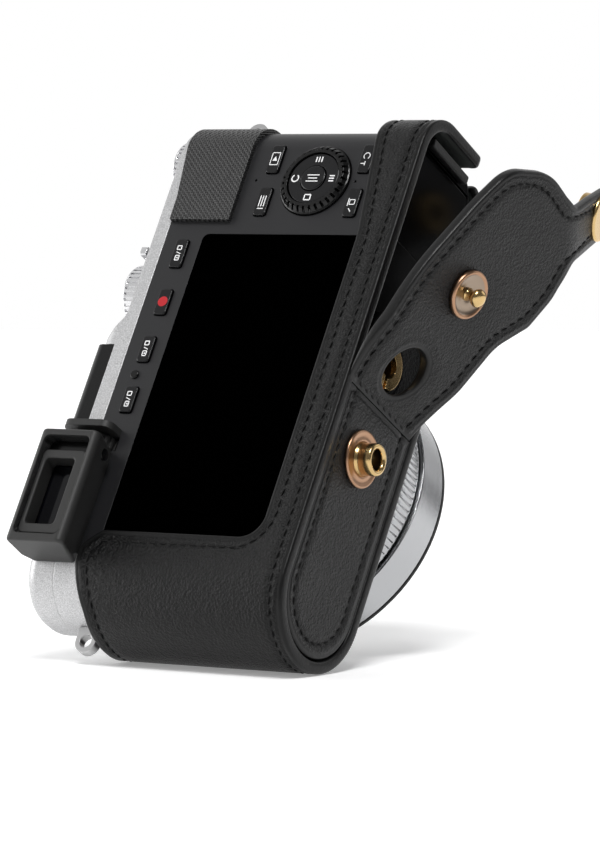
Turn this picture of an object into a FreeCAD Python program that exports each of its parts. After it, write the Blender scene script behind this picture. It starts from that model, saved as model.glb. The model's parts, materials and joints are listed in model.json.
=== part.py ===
import FreeCAD, Part
import math
import os
import re
import Sketcher

# Compact digital camera in a leather half case, standing on the case's rounded end and the lens rim.
# Every sub-part is drawn upright: +X towards the grip end, +Y towards the front, +Z towards the top
# plate. The last step leans them all onto the stance that the whole object rests in.

DIMS = {
    # camera body, seen from above: ends, faces and corner roundings
    "body_left": -54.6, "body_right": 62.3, "body_back": -16.0, "body_front": 10.0,
    "body_bottom": -26.5, "body_split": 29.1, "top_low": 32.4, "top_high": 36.8,
    "body_wall": 1.8, "end_round_back": 11.5, "end_round_front": 13.2, "grip_round": 7.0,
    "front_round": 8.0, "seam_depth": -2.9, "seam_side": -42.9, "base_thick": 1.5,
    "ramp_start": 8.4, "ramp_end": 14.1, "ramp_round": 3.0, "top_round": 3.0,
    "insert_deep": 6.5, "insert_proud": 1.2,
    # thumb rest and front grip
    "thumb_left": 37.3, "thumb_low": 13.6, "thumb_high": 30.9, "thumb_thick": 1.1,
    "thumb_tip": -7.0, "grip_left": 34.6, "grip_end": 58.0, "grip_front": 17.2,
    # screen
    "glass_left": -40.0, "glass_right": 34.2, "glass_low": -22.5, "glass_high": 19.3,
    "glass_proud": 0.3, "glass_thick": 1.2, "glass_gap": 0.1, "panel_thick": 1.3,
    # buttons on the back
    "key_long": 6.8, "key_short": 3.1, "key_round": 0.7, "key_proud": 0.55, "key_deep": 2.0,
    "key_gap": 0.15, "key_travel": 0.4,
    # control dial
    "dial_x": 47.46, "dial_z": -4.69, "dial_radius": 8.4, "dial_bore": 6.3, "dial_high": 1.5,
    "dial_low": 1.6, "pad_radius": 6.15, "pad_high": 1.2, "pad_bore": 3.2, "center_radius": 3.0,
    # lens
    "lens_x": -9.9, "lens_z": 2.9, "rim_radius": 32.2, "rim_front": 30.0, "ring_back": 20.4,
    "aperture_radius": 31.3, "aperture_back": 13.9, "aperture_front": 20.0, "tube_radius": 27.5,
    "tube_bore": 25.0, "tube_neck": 24.3, "neck_bore": 22.5, "flange_radius": 28.8,
    "fit_gap": 0.06, "barrel_bore": 22.4, "nose_bore": 18.5,
    # eyepiece
    "eye_left": -45.0, "eye_right": -18.7, "eye_back": -26.0, "eye_low": 20.9, "eye_high": 36.0,
    "eye_root_low": 24.0, "eye_round": 1.6, "wheel_radius": 5.5, "wheel_y": -14.4, "wheel_z": 29.5,
    "wheel_room": 6.2,
    # dials on the top plate
    "speed_x": 23.5, "speed_y": -6.3, "speed_radius": 7.2, "speed_top": 38.0,
    "exposure_x": 54.5, "exposure_y": -7.0, "exposure_radius": 7.0, "exposure_top": 35.8,
    "shutter_x": 39.0, "shutter_y": 0.5, "lever_x": 30.3, "lever_y": -12.4, "stem_radius": 2.0,
    "lever_stem": 1.0, "dial_lift": 0.2,
    # battery door in the base
    "door_left": 36.0, "door_right": 57.5, "door_back": -12.4, "door_front": 7.9,
    "door_gap": 0.6, "door_side_gap": 0.2, "door_pin_x": 56.6, "door_pin_z": -25.8,
    "door_pin_radius": 0.45, "door_thick": 1.4,
    # leather case
    "case_left": -59.2, "case_right": 65.4, "case_back": -18.25, "case_front": 12.7,
    "case_bottom": -30.0, "case_rim": 22.5, "case_end_round": 15.45, "case_grip_round": 9.6,
    "lining_left": -56.4, "lining_right": 62.75, "lining_back": -16.4, "lining_front": 10.2,
    "lining_end_round": 13.25, "lining_grip_round": 7.4, "window_left": -37.9,
    "window_low": -20.8, "strip_step": 33.4, "strip_end_low": -17.2, "front_sill": -27.2,
    "panel_out": -29.7, "panel_in": -26.9, "case_grip_high": 12.0, "end_wall_front": 4.7,
    # flap, hinged across the bottom of the case, drawn flat before it is swung open
    "hinge_x": -0.4, "hinge_z": -29.7, "flap_inner": -0.5, "flap_thick": 2.6,
    "flap_start": 0.7, "flap_hole_s": 9.6, "flap_hole_y": -5.2, "flap_hole_radius": 5.7,
    "stud_s": 30.4, "stud_y": -4.1, "tab_s": 56.4, "tab_y": 14.4, "tab_long": 22.0,
    "tab_half": 5.9, "tab_thick": 2.2, "tab_snap_s": 15.5,
    # brass fittings
    "post_x": -12.4, "post_y": -4.6, "post_flange": 6.1, "post_radius": 3.75, "post_bore": 2.5,
    "post_end": -34.0, "screw_x": 9.2, "screw_y": -5.0, "screw_head": 5.0, "screw_shank": 3.1,
    "screw_bore": 2.6, "screw_bore_deep": 3.5,
}
FLAP_ANGLE = 19.0  # degrees that the flap stands open at rest
TAB_TURN = 47.0  # degrees from the flap's length to the tab's length
TAB_RISE = 21.0  # degrees that the tab curls towards the camera
DIAL_TEETH, SPEED_TEETH, EXPOSURE_TEETH, RING_TEETH, WHEEL_TEETH = 32, 36, 36, 72, 24

doc = FreeCAD.newDocument("camera_in_half_case")
sheet = doc.addObject("Spreadsheet::Sheet", "Dims")
for row, (alias, number) in enumerate(DIMS.items(), start=1):
    sheet.set(f"A{row}", alias)
    sheet.set(f"B{row}", str(number))
    sheet.setAlias(f"B{row}", alias)
doc.recompute()

SUBPARTS = []
UPRIGHT = FreeCAD.Placement()
FACING_BACK = FreeCAD.Rotation(FreeCAD.Vector(1, 0, 0), 90)  # local +Z looks out of the back
FACING_FRONT = FreeCAD.Rotation(FreeCAD.Vector(1, 0, 0), -90)  # local +Z looks along the lens
FACING_GRIP = FreeCAD.Rotation(FreeCAD.Vector(0, 1, 0), 90)  # local +Z looks to the grip end


def bound(text):
    """The expression with every dimension's name pointed at the sheet."""
    return re.sub(r"[a-z][a-z_]+", lambda word: "Dims." + word.group(0), str(text))


def value(text):
    """What an expression of dimensions is worth now."""
    return float(sheet.evalExpression(bound(text)))


def spot(x, y, z, turn=None):
    """A placement from three expressions of dimensions and a rotation."""
    return FreeCAD.Placement(FreeCAD.Vector(value(x), value(y), value(z)), turn or FreeCAD.Rotation())


def new_body(label, placement=UPRIGHT):
    body = doc.addObject("PartDesign::Body", label)
    body.Label = label
    SUBPARTS.append((body, placement))
    return body


def new_sketch(body, role, level):
    """A sketch on one of the body's own planes, moved to a level along the plane's normal."""
    sketch = body.newObject("Sketcher::SketchObject", body.Name + "_sketch")
    plane = next(f for f in body.Origin.OriginFeatures if f.Role == role)
    sketch.AttachmentSupport = [(plane, "")]
    sketch.MapMode = "FlatFace"
    sketch.setExpression(".AttachmentOffset.Base.z", bound(level))
    return sketch


def hold(sketch, constraint, text):
    """Adds a constraint and ties its size to the sheet."""
    index = sketch.addConstraint(constraint)
    sketch.setExpression(f"Constraints[{index}]", bound(text))


def outline(sketch, corners):
    """A closed outline through corners (x, y, rounding), each an expression of dimensions."""
    count = len(corners)
    points = [FreeCAD.Vector(value(x), value(y), 0) for x, y, _ in corners]
    radii = [value(r) for _, _, r in corners]
    ends = []
    for i in range(count):
        before = (points[i - 1] - points[i]).normalize()
        after = (points[(i + 1) % count] - points[i]).normalize()
        half = before.getAngle(after) / 2
        reach = radii[i] / math.tan(half) if radii[i] else 0.0
        ends.append((points[i] + before * reach, points[i] + after * reach))
    lines = []
    for i in range(count):
        line = Part.LineSegment(ends[i][1], ends[(i + 1) % count][0])
        lines.append(sketch.addGeometry(line, False))
    for i in range(count):
        came, goes = lines[i - 1], lines[i]
        x, y, r = corners[i]
        if not radii[i]:
            sketch.addConstraint(Sketcher.Constraint("Coincident", came, 2, goes, 1))
            hold(sketch, Sketcher.Constraint("DistanceX", -1, 1, goes, 1, points[i].x), x)
            hold(sketch, Sketcher.Constraint("DistanceY", -1, 1, goes, 1, points[i].y), y)
            continue
        start, stop = ends[i]
        chord = (start + stop) * 0.5
        inward = (chord - points[i]).normalize()
        centre = points[i] + inward * math.hypot(radii[i], (start - points[i]).Length)
        left_turn = (points[i] - points[i - 1]).cross(points[(i + 1) % count] - points[i]).z > 0
        first, last = (start, stop) if left_turn else (stop, start)
        angles = [math.atan2(p.y - centre.y, p.x - centre.x) for p in (first, last)]
        circle = Part.Circle(centre, FreeCAD.Vector(0, 0, 1), radii[i])
        arc = sketch.addGeometry(Part.ArcOfCircle(circle, *angles), False)
        sketch.addConstraint(Sketcher.Constraint("Tangent", came, 2, arc, 1 if left_turn else 2))
        sketch.addConstraint(Sketcher.Constraint("Tangent", goes, 1, arc, 2 if left_turn else 1))
        hold(sketch, Sketcher.Constraint("Radius", arc, radii[i]), r)
        corner = sketch.addGeometry(Part.Point(points[i]), True)
        sketch.addConstraint(Sketcher.Constraint("PointOnObject", corner, 1, came))
        sketch.addConstraint(Sketcher.Constraint("PointOnObject", corner, 1, goes))
        hold(sketch, Sketcher.Constraint("DistanceX", -1, 1, corner, 1, points[i].x), x)
        hold(sketch, Sketcher.Constraint("DistanceY", -1, 1, corner, 1, points[i].y), y)


def circle(sketch, x, y, radius):
    centre = FreeCAD.Vector(value(x), value(y), 0)
    index = sketch.addGeometry(Part.Circle(centre, FreeCAD.Vector(0, 0, 1), value(radius)), False)
    hold(sketch, Sketcher.Constraint("Radius", index, value(radius)), radius)
    hold(sketch, Sketcher.Constraint("DistanceX", -1, 1, index, 3, centre.x), x)
    hold(sketch, Sketcher.Constraint("DistanceY", -1, 1, index, 3, centre.y), y)


def box_corners(left, low, right, high, rounding="0"):
    return [(left, low, rounding), (right, low, rounding), (right, high, rounding), (left, high, rounding)]


def pad(body, corners, level, length, role="XY_Plane"):
    """Extrudes an outline from its level along the plane's normal."""
    sketch = new_sketch(body, role, level)
    outline(sketch, corners)
    feature = body.newObject("PartDesign::Pad", body.Name + "_pad")
    feature.Profile = sketch
    feature.setExpression("Length", bound(length))
    doc.recompute()
    return feature


def pocket(body, shapes, level, length, role="XY_Plane", along=True):
    """Cuts outlines and (x, y, radius) holes, along the plane's normal or against it."""
    before = body.Shape.Volume
    sketch = new_sketch(body, role, level)
    for shape in shapes:
        if isinstance(shape, tuple):
            circle(sketch, *shape)
        else:
            outline(sketch, shape)
    feature = body.newObject("PartDesign::Pocket", body.Name + "_pocket")
    feature.Profile = sketch
    feature.Reversed = along
    feature.setExpression("Length", bound(length))
    doc.recompute()
    if body.Shape.Volume > before - 0.01:
        raise ValueError(f"a cut in {body.Label} removed nothing")
    return feature


def round_edges(body, radius, wanted):
    """Rounds the edges that wanted(edge) picks."""
    base = body.Tip
    names = [f"Edge{i}" for i, edge in enumerate(base.Shape.Edges, start=1) if wanted(edge)]
    feature = body.newObject("PartDesign::Fillet", body.Name + "_round")
    feature.Base = (base, names)
    feature.setExpression("Radius", bound(radius))
    doc.recompute()


def at_height(height):
    return lambda edge: all(abs(v.Z - height) < 1e-4 for v in edge.Vertexes)


def slab(label, corners, level, thick, placement=UPRIGHT, holes=()):
    """A flat piece: an outline of one thickness, with holes right through."""
    body = new_body(label, placement)
    pad(body, corners, level, thick)
    if holes:
        pocket(body, list(holes), level, thick)
    return body


def turned(label, profile, placement=UPRIGHT):
    """A round piece: a profile of (radius, height, rounding) turned about the local Z axis."""
    body = new_body(label, placement)
    sketch = new_sketch(body, "XZ_Plane", "0")
    outline(sketch, profile)
    feature = body.newObject("PartDesign::Revolution", label + "_turn")
    feature.Profile = sketch
    feature.ReferenceAxis = (sketch, ["V_Axis"])
    feature.Angle = 360
    doc.recompute()
    return body


def tube(label, outer, bore, low, high, placement=UPRIGHT, edge="0.3"):
    """A ring whose outer edges are softened."""
    profile = [(bore, low, "0"), (outer, low, edge), (outer, high, edge), (bore, high, "0")]
    return turned(label, profile, placement)


def knurl(body, radius, deep, wide, count, low, length):
    """Cuts evenly spaced grooves into the rim of a round piece."""
    sides = box_corners(f"{radius} - {deep}", f"0 - {wide} / 2", f"{radius} + 1", f"{wide} / 2")
    groove = pocket(body, [sides], low, length)
    pattern = body.newObject("PartDesign::PolarPattern", body.Name + "_grooves")
    pattern.Originals = [groove]
    axis = next(f for f in body.Origin.OriginFeatures if f.Role == "Z_Axis")
    pattern.Axis = (axis, [""])
    pattern.Angle = 360
    pattern.Occurrences = count
    body.Tip = pattern
    doc.recompute()


# ---------------------------------------------------------------- camera body

BODY_PLAN = [
    ("body_left", "body_back", "end_round_back"), ("body_right", "body_back", "grip_round"),
    ("body_right", "body_front", "front_round"), ("body_left", "body_front", "end_round_front"),
]
INNER_PLAN = [
    ("body_left + body_wall", "body_back + body_wall", "end_round_back - body_wall"),
    ("body_right - body_wall", "body_back + body_wall", "grip_round - body_wall"),
    ("body_right - body_wall", "body_front - body_wall", "front_round - body_wall"),
    ("body_left + body_wall", "body_front - body_wall", "end_round_front - body_wall"),
]
# label: x, z and how wide the key is along x, in millimetres
KEYS = {
    "play_button": (52.7, 7.2, 6.8), "menu_button": (42.2, 6.9, 6.8),
    "focus_button": (52.8, -15.9, 6.8), "delete_button": (42.05, -15.8, 6.8),
    "drive_button": (29.2, 24.0, 6.8), "record_button": (17.3, 23.8, 6.2),
    "quick_button": (5.8, 24.0, 6.2), "display_button": (-6.4, 24.1, 6.2),
}


def key_outline(x, z, wide, gap):
    """A key's outline about its own centre, grown by a gap."""
    half_x, half_z = f"{wide / 2} + {gap}", f"key_short / 2 + {gap}"
    return box_corners(f"{x} - ({half_x})", f"{z} - ({half_z})", f"{x} + {half_x}", f"{z} + {half_z}",
                       "key_round")


def make_rear_cover():
    """The black back: a plate that turns the corner at the grip end and holds screen and keys."""
    body = new_body("rear_cover")
    wall = "body_wall"
    corners = [
        ("seam_side", "body_back", "0"), ("body_right", "body_back", "grip_round"),
        ("body_right", "seam_depth", "0"), (f"body_right - {wall}", "seam_depth", "0"),
        (f"body_right - {wall}", f"body_back + {wall}", f"grip_round - {wall}"),
        ("seam_side", f"body_back + {wall}", "0"),
    ]
    pad(body, corners, "body_bottom + base_thick", "body_split - body_bottom - base_thick")
    screen = box_corners("glass_left - glass_gap", "glass_low - glass_gap", "glass_right + glass_gap",
                         "glass_high + glass_gap", "1.6")
    keys = [key_outline(x, z, wide, "key_gap") for x, z, wide in KEYS.values()]
    dial = ("dial_x", "dial_z", "dial_radius + 0.15")
    pocket(body, [screen, dial] + keys, "0 - body_back + 1", "body_wall + 2", "XZ_Plane", False)
    sound_holes = [("47.65", "10.7", "0.3"), ("47.4", "0 - 14.6", "0.3")]
    pocket(body, sound_holes, "0 - body_back + 1", "1.6", "XZ_Plane", False)
    slot = box_corners("eye_right + 0.1", "wheel_z - wheel_room", "eye_right + 3.4", "body_split + 1")
    pocket(body, [slot], "0 - body_back + 1", "body_wall + 2", "XZ_Plane", False)


def make_front_cover():
    """The silver front: it wraps the rounded end and carries the lens opening."""
    body = new_body("front_cover")
    wall = "body_wall"
    corners = [
        ("seam_side - 0.05", "body_back", "0"), ("seam_side - 0.05", f"body_back + {wall}", "0"),
        (f"body_left + {wall}", f"body_back + {wall}", f"end_round_back - {wall}"),
        (f"body_left + {wall}", f"body_front - {wall}", f"end_round_front - {wall}"),
        (f"body_right - {wall}", f"body_front - {wall}", f"front_round - {wall}"),
        (f"body_right - {wall}", "seam_depth + 0.05", "0"), ("body_right", "seam_depth + 0.05", "0"),
        ("body_right", "body_front", "front_round"), ("body_left", "body_front", "end_round_front"),
        ("body_left", "body_back", "end_round_back"),
    ]
    pad(body, corners, "body_bottom + base_thick", "body_split - body_bottom - base_thick")
    opening = ("lens_x", "lens_z", "tube_neck + 0.1")
    pocket(body, [opening], "0 - body_front - 1", "body_wall + 2", "XZ_Plane", True)


def make_base_plate():
    """The base, with the tripod socket's hole and the battery door's opening."""
    body = new_body("base_plate")
    pad(body, BODY_PLAN, "body_bottom", "base_thick")
    round_edges(body, "0.9", at_height(value("body_bottom")))
    door = box_corners("door_left - door_side_gap", "door_back - door_side_gap",
                       "door_right + door_gap", "door_front + door_side_gap", "0.8")
    pocket(body, [("screw_x", "screw_y", "4.6"), door], "body_bottom - 1", "base_thick + 2")
    pin = ("door_pin_x", "door_pin_z", "door_pin_radius + 0.05")
    pocket(body, [pin], "0 - door_front - 1.4", "door_front - door_back + 2.8", "XZ_Plane", True)


def make_top_plate():
    """The silver top: a high part over lens and eyepiece, a ramp, and a low part for the dials."""
    body = new_body("top_plate")
    pad(body, BODY_PLAN, "body_split", "top_high - body_split")
    round_edges(body, "top_round", at_height(value("top_high")))
    ramp = [
        ("ramp_start - 4", "top_high + 5", "0"), ("ramp_start - 4", "top_high", "0"),
        ("ramp_start - 0.9", "top_high", "3"), ("ramp_end", "top_low", "ramp_round"),
        ("body_right + 5", "top_low", "0"), ("body_right + 5", "top_high + 5", "0"),
    ]
    pocket(body, [ramp], "0 - body_front - 5", "body_front - body_back + 10", "XZ_Plane", True)
    high = [
        ("body_left + body_wall", "body_back + body_wall", "end_round_back - body_wall"),
        ("ramp_start - 3.5", "body_back + body_wall", "0"),
        ("ramp_start - 3.5", "body_front - body_wall", "0"),
        ("body_left + body_wall", "body_front - body_wall", "end_round_front - body_wall"),
    ]
    pocket(body, [high], "body_split", "top_high - body_split - body_wall")
    pocket(body, [INNER_PLAN], "body_split", "top_low - body_split - body_wall")
    stems = [(f"{name}_x", f"{name}_y", "stem_radius + fit_gap")
             for name in ("speed", "exposure", "shutter")]
    stems.append(("lever_x", "lever_y", "lever_stem + fit_gap"))
    pocket(body, stems, "body_split", "top_high - body_split + 1")
    insert = box_corners("0 - 17.6", "top_high - 3.9", "7.0", "top_high + 1")
    pocket(body, [insert], "0 - body_back + 1", "insert_deep + 1.1", "XZ_Plane", False)
    slot = box_corners("eye_right + 0.1", "body_split - 1", "eye_right + 3.4", "wheel_z + wheel_room")
    pocket(body, [slot], "0 - body_back + 1", "body_wall + 2", "XZ_Plane", False)


def make_body_trim():
    """Thumb rest, front grip, insert at the accessory shoe, and the shoe itself."""
    thumb = new_body("thumb_grip")
    corners = [
        ("thumb_left", "body_back", "0"), ("thumb_left", "body_back - thumb_thick", "0"),
        ("body_right + thumb_thick", "body_back - thumb_thick", "grip_round + thumb_thick"),
        ("body_right + thumb_thick", "thumb_tip", "0"), ("body_right", "thumb_tip", "0"),
        ("body_right", "body_back", "grip_round"),
    ]
    pad(thumb, corners, "thumb_low", "thumb_high - thumb_low")
    above = [
        ("thumb_left - 2", "body_split - 0.2", "0"), ("43", "body_split - 0.1", "12"),
        ("56", "thumb_high - 0.2", "12"), ("body_right + 5", "thumb_high - 0.1", "0"),
        ("body_right + 5", "thumb_high + 4", "0"), ("thumb_left - 2", "thumb_high + 4", "0"),
    ]
    pocket(thumb, [above], "0 - body_front", "30", "XZ_Plane", True)
    grip = [
        ("grip_left", "body_front", "0"), ("grip_end", "body_front", "0"),
        ("grip_end - 5.5", "grip_front", "6"), ("grip_left + 4.5", "grip_front", "4.5"),
    ]
    slab("front_grip", grip, "body_bottom + 4", "body_split - body_bottom - 8")
    insert = new_body("shoe_panel")
    profile = [
        ("body_back", "top_high - 3.85", "0"), ("body_back + insert_deep", "top_high - 3.85", "0"),
        ("body_back + insert_deep", "top_high + insert_proud", "0.4"),
        ("body_back", "top_high + insert_proud", "2.2"),
    ]
    pad(insert, profile, "0 - 17.5", "24.4", "YZ_Plane")
    relief = box_corners("eye_right - 1", "top_high - 5", "eye_right + 3.4", "wheel_z + wheel_room")
    pocket(insert, [relief], "0 - body_back + 1", "10", "XZ_Plane", False)
    shoe = new_body("hot_shoe")
    rails = [
        ("0 - 10.6", "0", "0"), ("10.6", "0", "0"), ("10.6", "2.6", "0.5"), ("6.6", "2.6", "0"),
        ("6.6", "2.1", "0"), ("9.4", "2.1", "0"), ("9.4", "0.4", "0"), ("0 - 9.4", "0.4", "0"),
        ("0 - 9.4", "2.1", "0"), ("0 - 6.6", "2.1", "0"), ("0 - 6.6", "2.6", "0"),
        ("0 - 10.6", "2.6", "0.5"),
    ]
    pad(shoe, rails, "0 - 5.2", "13", "XZ_Plane")
    SUBPARTS[-1] = (shoe, spot("0 - 5.2", "0 - 1.5", "top_high"))


def make_screen():
    glass = box_corners("glass_left", "glass_low", "glass_right", "glass_high", "1.5")
    back = spot("0", "body_back", "0", FACING_BACK)
    body = slab("lcd_glass", glass, "glass_proud - glass_thick", "glass_thick", back)
    round_edges(body, "0.15", at_height(value("glass_proud")))
    panel = box_corners("glass_left + 3.5", "glass_low + 1.5", "glass_right - 3", "glass_high - 1.6")
    slab("lcd_panel", panel, "glass_proud - glass_thick - panel_thick", "panel_thick", back)


def make_keys():
    """Keys that travel in the back, each with a softened face."""
    for label, (x, z, wide) in KEYS.items():
        place = spot(x, "body_back", z, FACING_BACK)
        half = f"{wide / 2}"
        corners = box_corners(f"0 - {half}", "0 - key_short / 2", half, "key_short / 2", "key_round")
        body = slab(label, corners, "0 - key_deep", "key_deep + key_proud", place)
        round_edges(body, "0.25", at_height(value("key_proud")))


def make_control_dial():
    """The toothed dial, the fixed pad inside it, and the key at its centre."""
    place = spot("dial_x", "body_back", "dial_z", FACING_BACK)
    crown = [
        ("dial_bore", "0 - dial_low", "0"), ("dial_radius", "0 - dial_low", "0"),
        ("dial_radius", "0.5", "0.12"), ("dial_radius - 0.3", "0.65", "0"),
        ("dial_radius - 1.0", "dial_high", "0.15"), ("dial_bore", "dial_high", "0"),
    ]
    ring = turned("control_dial", crown, place)
    knurl(ring, "dial_radius", "1.5", "0.6", DIAL_TEETH, "0.6", "dial_high")
    pad_profile = [
        ("0", "0 - 3.3", "0"), ("9.8", "0 - 3.3", "0"), ("9.8", "0 - 1.9", "0"),
        ("pad_radius", "0 - 1.9", "0"), ("pad_radius", "pad_high", "0.3"),
        ("pad_bore", "pad_high", "0"), ("pad_bore", "0 - 2.4", "0"), ("0", "0 - 2.4", "0"),
    ]
    turned("navigation_pad", pad_profile, place)
    button = [("0", "0 - 1.6", "0"), ("center_radius", "0 - 1.6", "0"),
              ("center_radius", "pad_high + 0.3", "0.3"), ("0", "pad_high + 0.3", "0")]
    turned("center_button", button, place)
    sensor = [("0", "0", "0"), ("1.0", "0", "0"), ("1.0", "0.45", "0.2"), ("0", "0.45", "0")]
    turned("eye_sensor", sensor, spot("0 - 0.3", "body_back", "24.9", FACING_BACK))


# ---------------------------------------------------------------- lens

def make_lens():
    """Fixed tube and flange, two rings that turn on them, and a barrel that runs out in two stages."""
    axis = spot("lens_x", "0", "lens_z", FACING_FRONT)
    flange = [
        ("tube_neck + 0.05", "body_front", "0"), ("flange_radius", "body_front", "0"),
        ("flange_radius", "aperture_back - 0.3", "0.4"), ("tube_neck + 0.05", "aperture_back - 0.3", "0"),
    ]
    turned("lens_flange", flange, axis)
    fixed = [
        ("neck_bore", "0 - 2", "0"), ("tube_neck", "0 - 2", "0"), ("tube_neck", "aperture_back - 0.3", "0"),
        ("tube_radius", "aperture_back - 0.3", "0"), ("tube_radius", "rim_front - 1.2", "0"),
        ("tube_bore", "rim_front - 1.2", "0"), ("tube_bore", "aperture_back + 1", "0"),
        ("neck_bore", "aperture_back + 1", "0"),
    ]
    turned("lens_tube", fixed, axis)
    ring_bore = "tube_radius + fit_gap"
    aperture = tube("aperture_ring", "aperture_radius", ring_bore, "aperture_back", "aperture_front", axis)
    knurl(aperture, "aperture_radius", "0.3", "0.5", RING_TEETH, "aperture_back + 0.9", "3.2")
    tube("control_ring", "rim_radius", ring_bore, "ring_back", "rim_front - 1.0", axis, "0.25")
    rim = [
        ("tube_bore", "rim_front - 1.2", "0"), ("tube_radius", "rim_front - 1.2", "0"),
        ("tube_radius", "rim_front - 0.8", "0"), ("rim_radius", "rim_front - 0.8", "0"),
        ("rim_radius", "rim_front", "0.2"), ("rim_radius - 2.4", "rim_front", "0"),
        ("tube_bore", "rim_front - 1.0", "0"),
    ]
    turned("front_rim", rim, axis)
    tube("lens_barrel", "tube_bore - fit_gap", "barrel_bore", "aperture_back + 1.4", "rim_front - 1.6", axis)
    nose = [
        ("nose_bore", "aperture_back + 2", "0"), ("barrel_bore - fit_gap", "aperture_back + 2", "0"),
        ("barrel_bore - fit_gap", "rim_front - 2", "0.4"), ("nose_bore - 1", "rim_front - 2", "0"),
        ("nose_bore - 1", "rim_front - 3.2", "0"), ("nose_bore", "rim_front - 3.2", "0"),
    ]
    turned("lens_nose", nose, axis)
    glass = [("0", "rim_front - 7", "0"), ("nose_bore - 0.05", "rim_front - 6.6", "0"),
             ("nose_bore - 0.05", "rim_front - 3.9", "0"), ("0", "rim_front - 3.3", "0")]
    turned("front_element", glass, axis)


# ---------------------------------------------------------------- eyepiece

def make_eyepiece():
    """A box behind the top plate with a stepped window, its glass, and the sight-adjusting wheel."""
    body = new_body("eyepiece_housing")
    side = [
        ("body_back", "eye_root_low", "0"), ("body_back", "top_high - 1.8", "0"),
        ("body_back - 2.4", "top_high - 0.3", "1.5"), ("eye_back", "eye_high", "eye_round"),
        ("eye_back", "eye_low", "eye_round"),
    ]
    pad(body, side, "eye_left", "eye_right - eye_left", "YZ_Plane")

    def runs_back(edge):
        near = [v for v in edge.Vertexes if v.Y < value("eye_back") + 2.5]
        return len(near) == len(edge.Vertexes) and abs(edge.Vertexes[0].X - edge.Vertexes[-1].X) < 1e-6

    round_edges(body, "0.7", runs_back)
    recess = box_corners("eye_left + 1.6", "eye_low + 1.8", "eye_right - 1.6", "eye_high - 1.5", "1.4")
    pocket(body, [recess], "0 - eye_back + 1", "5.5", "XZ_Plane", False)
    throat = box_corners("eye_left + 3.6", "eye_low + 4.0", "eye_right - 5.8", "eye_high - 2.2", "1")
    pocket(body, [throat], "0 - eye_back", "8.6", "XZ_Plane", False)
    pocket(body, [("0 - 21.5", "0 - 19.9", "1.35")], "eye_low - 2", "5.05")
    frame = new_body("eyepiece_frame")
    place = spot("0", "eye_back + 4.5", "0", FACING_BACK)
    SUBPARTS[-1] = (frame, place)
    outer = box_corners("eye_left + 1.65", "eye_low + 1.85", "eye_right - 1.65", "eye_high - 1.55", "1.3")
    pad(frame, outer, "0", "1.6")
    collar = box_corners("eye_left + 2.1", "eye_low + 2.3", "eye_right - 4.6", "eye_high - 1.9", "1.3")
    pad(frame, collar, "1.6", "2")
    window = box_corners("eye_left + 4.4", "eye_low + 4.6", "eye_right - 6.6", "eye_high - 3.0", "0.9")
    pocket(frame, [window], "0", "3.6")
    round_edges(frame, "0.4", at_height(3.6))
    glass = box_corners("eye_left + 3.7", "eye_low + 4.1", "eye_right - 5.9", "eye_high - 2.3", "0.9")
    slab("eyepiece_glass", glass, "0 - 3.4", "3", place)
    guard = new_body("diopter_guard")
    plate = [
        ("body_back", "wheel_z - wheel_room", "0"), ("body_back - 4.9", "wheel_z - wheel_room", "2.4"),
        ("body_back - 4.9", "wheel_z + wheel_room", "2.4"), ("body_back", "wheel_z + wheel_room", "0"),
    ]
    pad(guard, plate, "eye_right + 3.5", "1.5", "YZ_Plane")
    place = spot("eye_right + 0.3", "wheel_y", "wheel_z", FACING_GRIP)
    profile = [("0", "0", "0"), ("wheel_radius", "0", "0.3"), ("wheel_radius", "2.7", "0.3"),
               ("0", "2.7", "0")]
    wheel = turned("diopter_wheel", profile, place)
    knurl(wheel, "wheel_radius", "0.5", "0.7", WHEEL_TEETH, "0 - 0.5", "4")
    screw = [("0", "0", "0"), ("1.3", "0", "0.2"), ("1.3", "1.5", "0"), ("0", "1.5", "0")]
    turned("eyepiece_screw", screw, spot("0 - 21.5", "0 - 19.9", "22.4"))


# ---------------------------------------------------------------- top controls

def make_top_controls():
    for name, teeth in (("speed", SPEED_TEETH), ("exposure", EXPOSURE_TEETH)):
        radius, top = f"{name}_radius", f"{name}_top - top_low"
        profile = [
            ("0", "0 - 2.6", "0"), ("stem_radius", "0 - 2.6", "0"), ("stem_radius", "dial_lift", "0"),
            (radius, "dial_lift", "0"), (radius, top, "0.4"), ("0", top, "0"),
        ]
        dial = turned(f"{name}_dial", profile, spot(f"{name}_x", f"{name}_y", "top_low"))
        knurl(dial, radius, "0.35", "0.6", teeth, "dial_lift + 0.4", f"{top} - 1.2")
    place = spot("shutter_x", "shutter_y", "top_low")
    ring = tube("zoom_lever", "6.6", "4.5", "dial_lift", "3.0", place)
    pad(ring, box_corners("0 - 1.6", "6.0", "1.6", "8.4", "0.7"), "1.0", "2.4")
    shutter = [
        ("0", "0 - 2.6", "0"), ("stem_radius", "0 - 2.6", "0"), ("stem_radius", "1.6", "0"),
        ("4.4", "1.6", "0"), ("4.4", "4.4", "0.5"), ("0", "4.4", "0"),
    ]
    turned("shutter_button", shutter, place)
    boss = [
        ("0", "0 - 2", "0"), ("lever_stem", "0 - 2", "0"), ("lever_stem", "dial_lift", "0"),
        ("1.9", "dial_lift", "0"), ("1.9", "2.0", "0.3"), ("0", "2.0", "0"),
    ]
    lever = turned("power_lever", boss, spot("lever_x", "lever_y", "top_low"))
    pad(lever, box_corners("0 - 1.0", "0 - 3.2", "1.0", "0.6", "0.4"), "0.9", "1.5")


# ---------------------------------------------------------------- inside the camera

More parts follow.
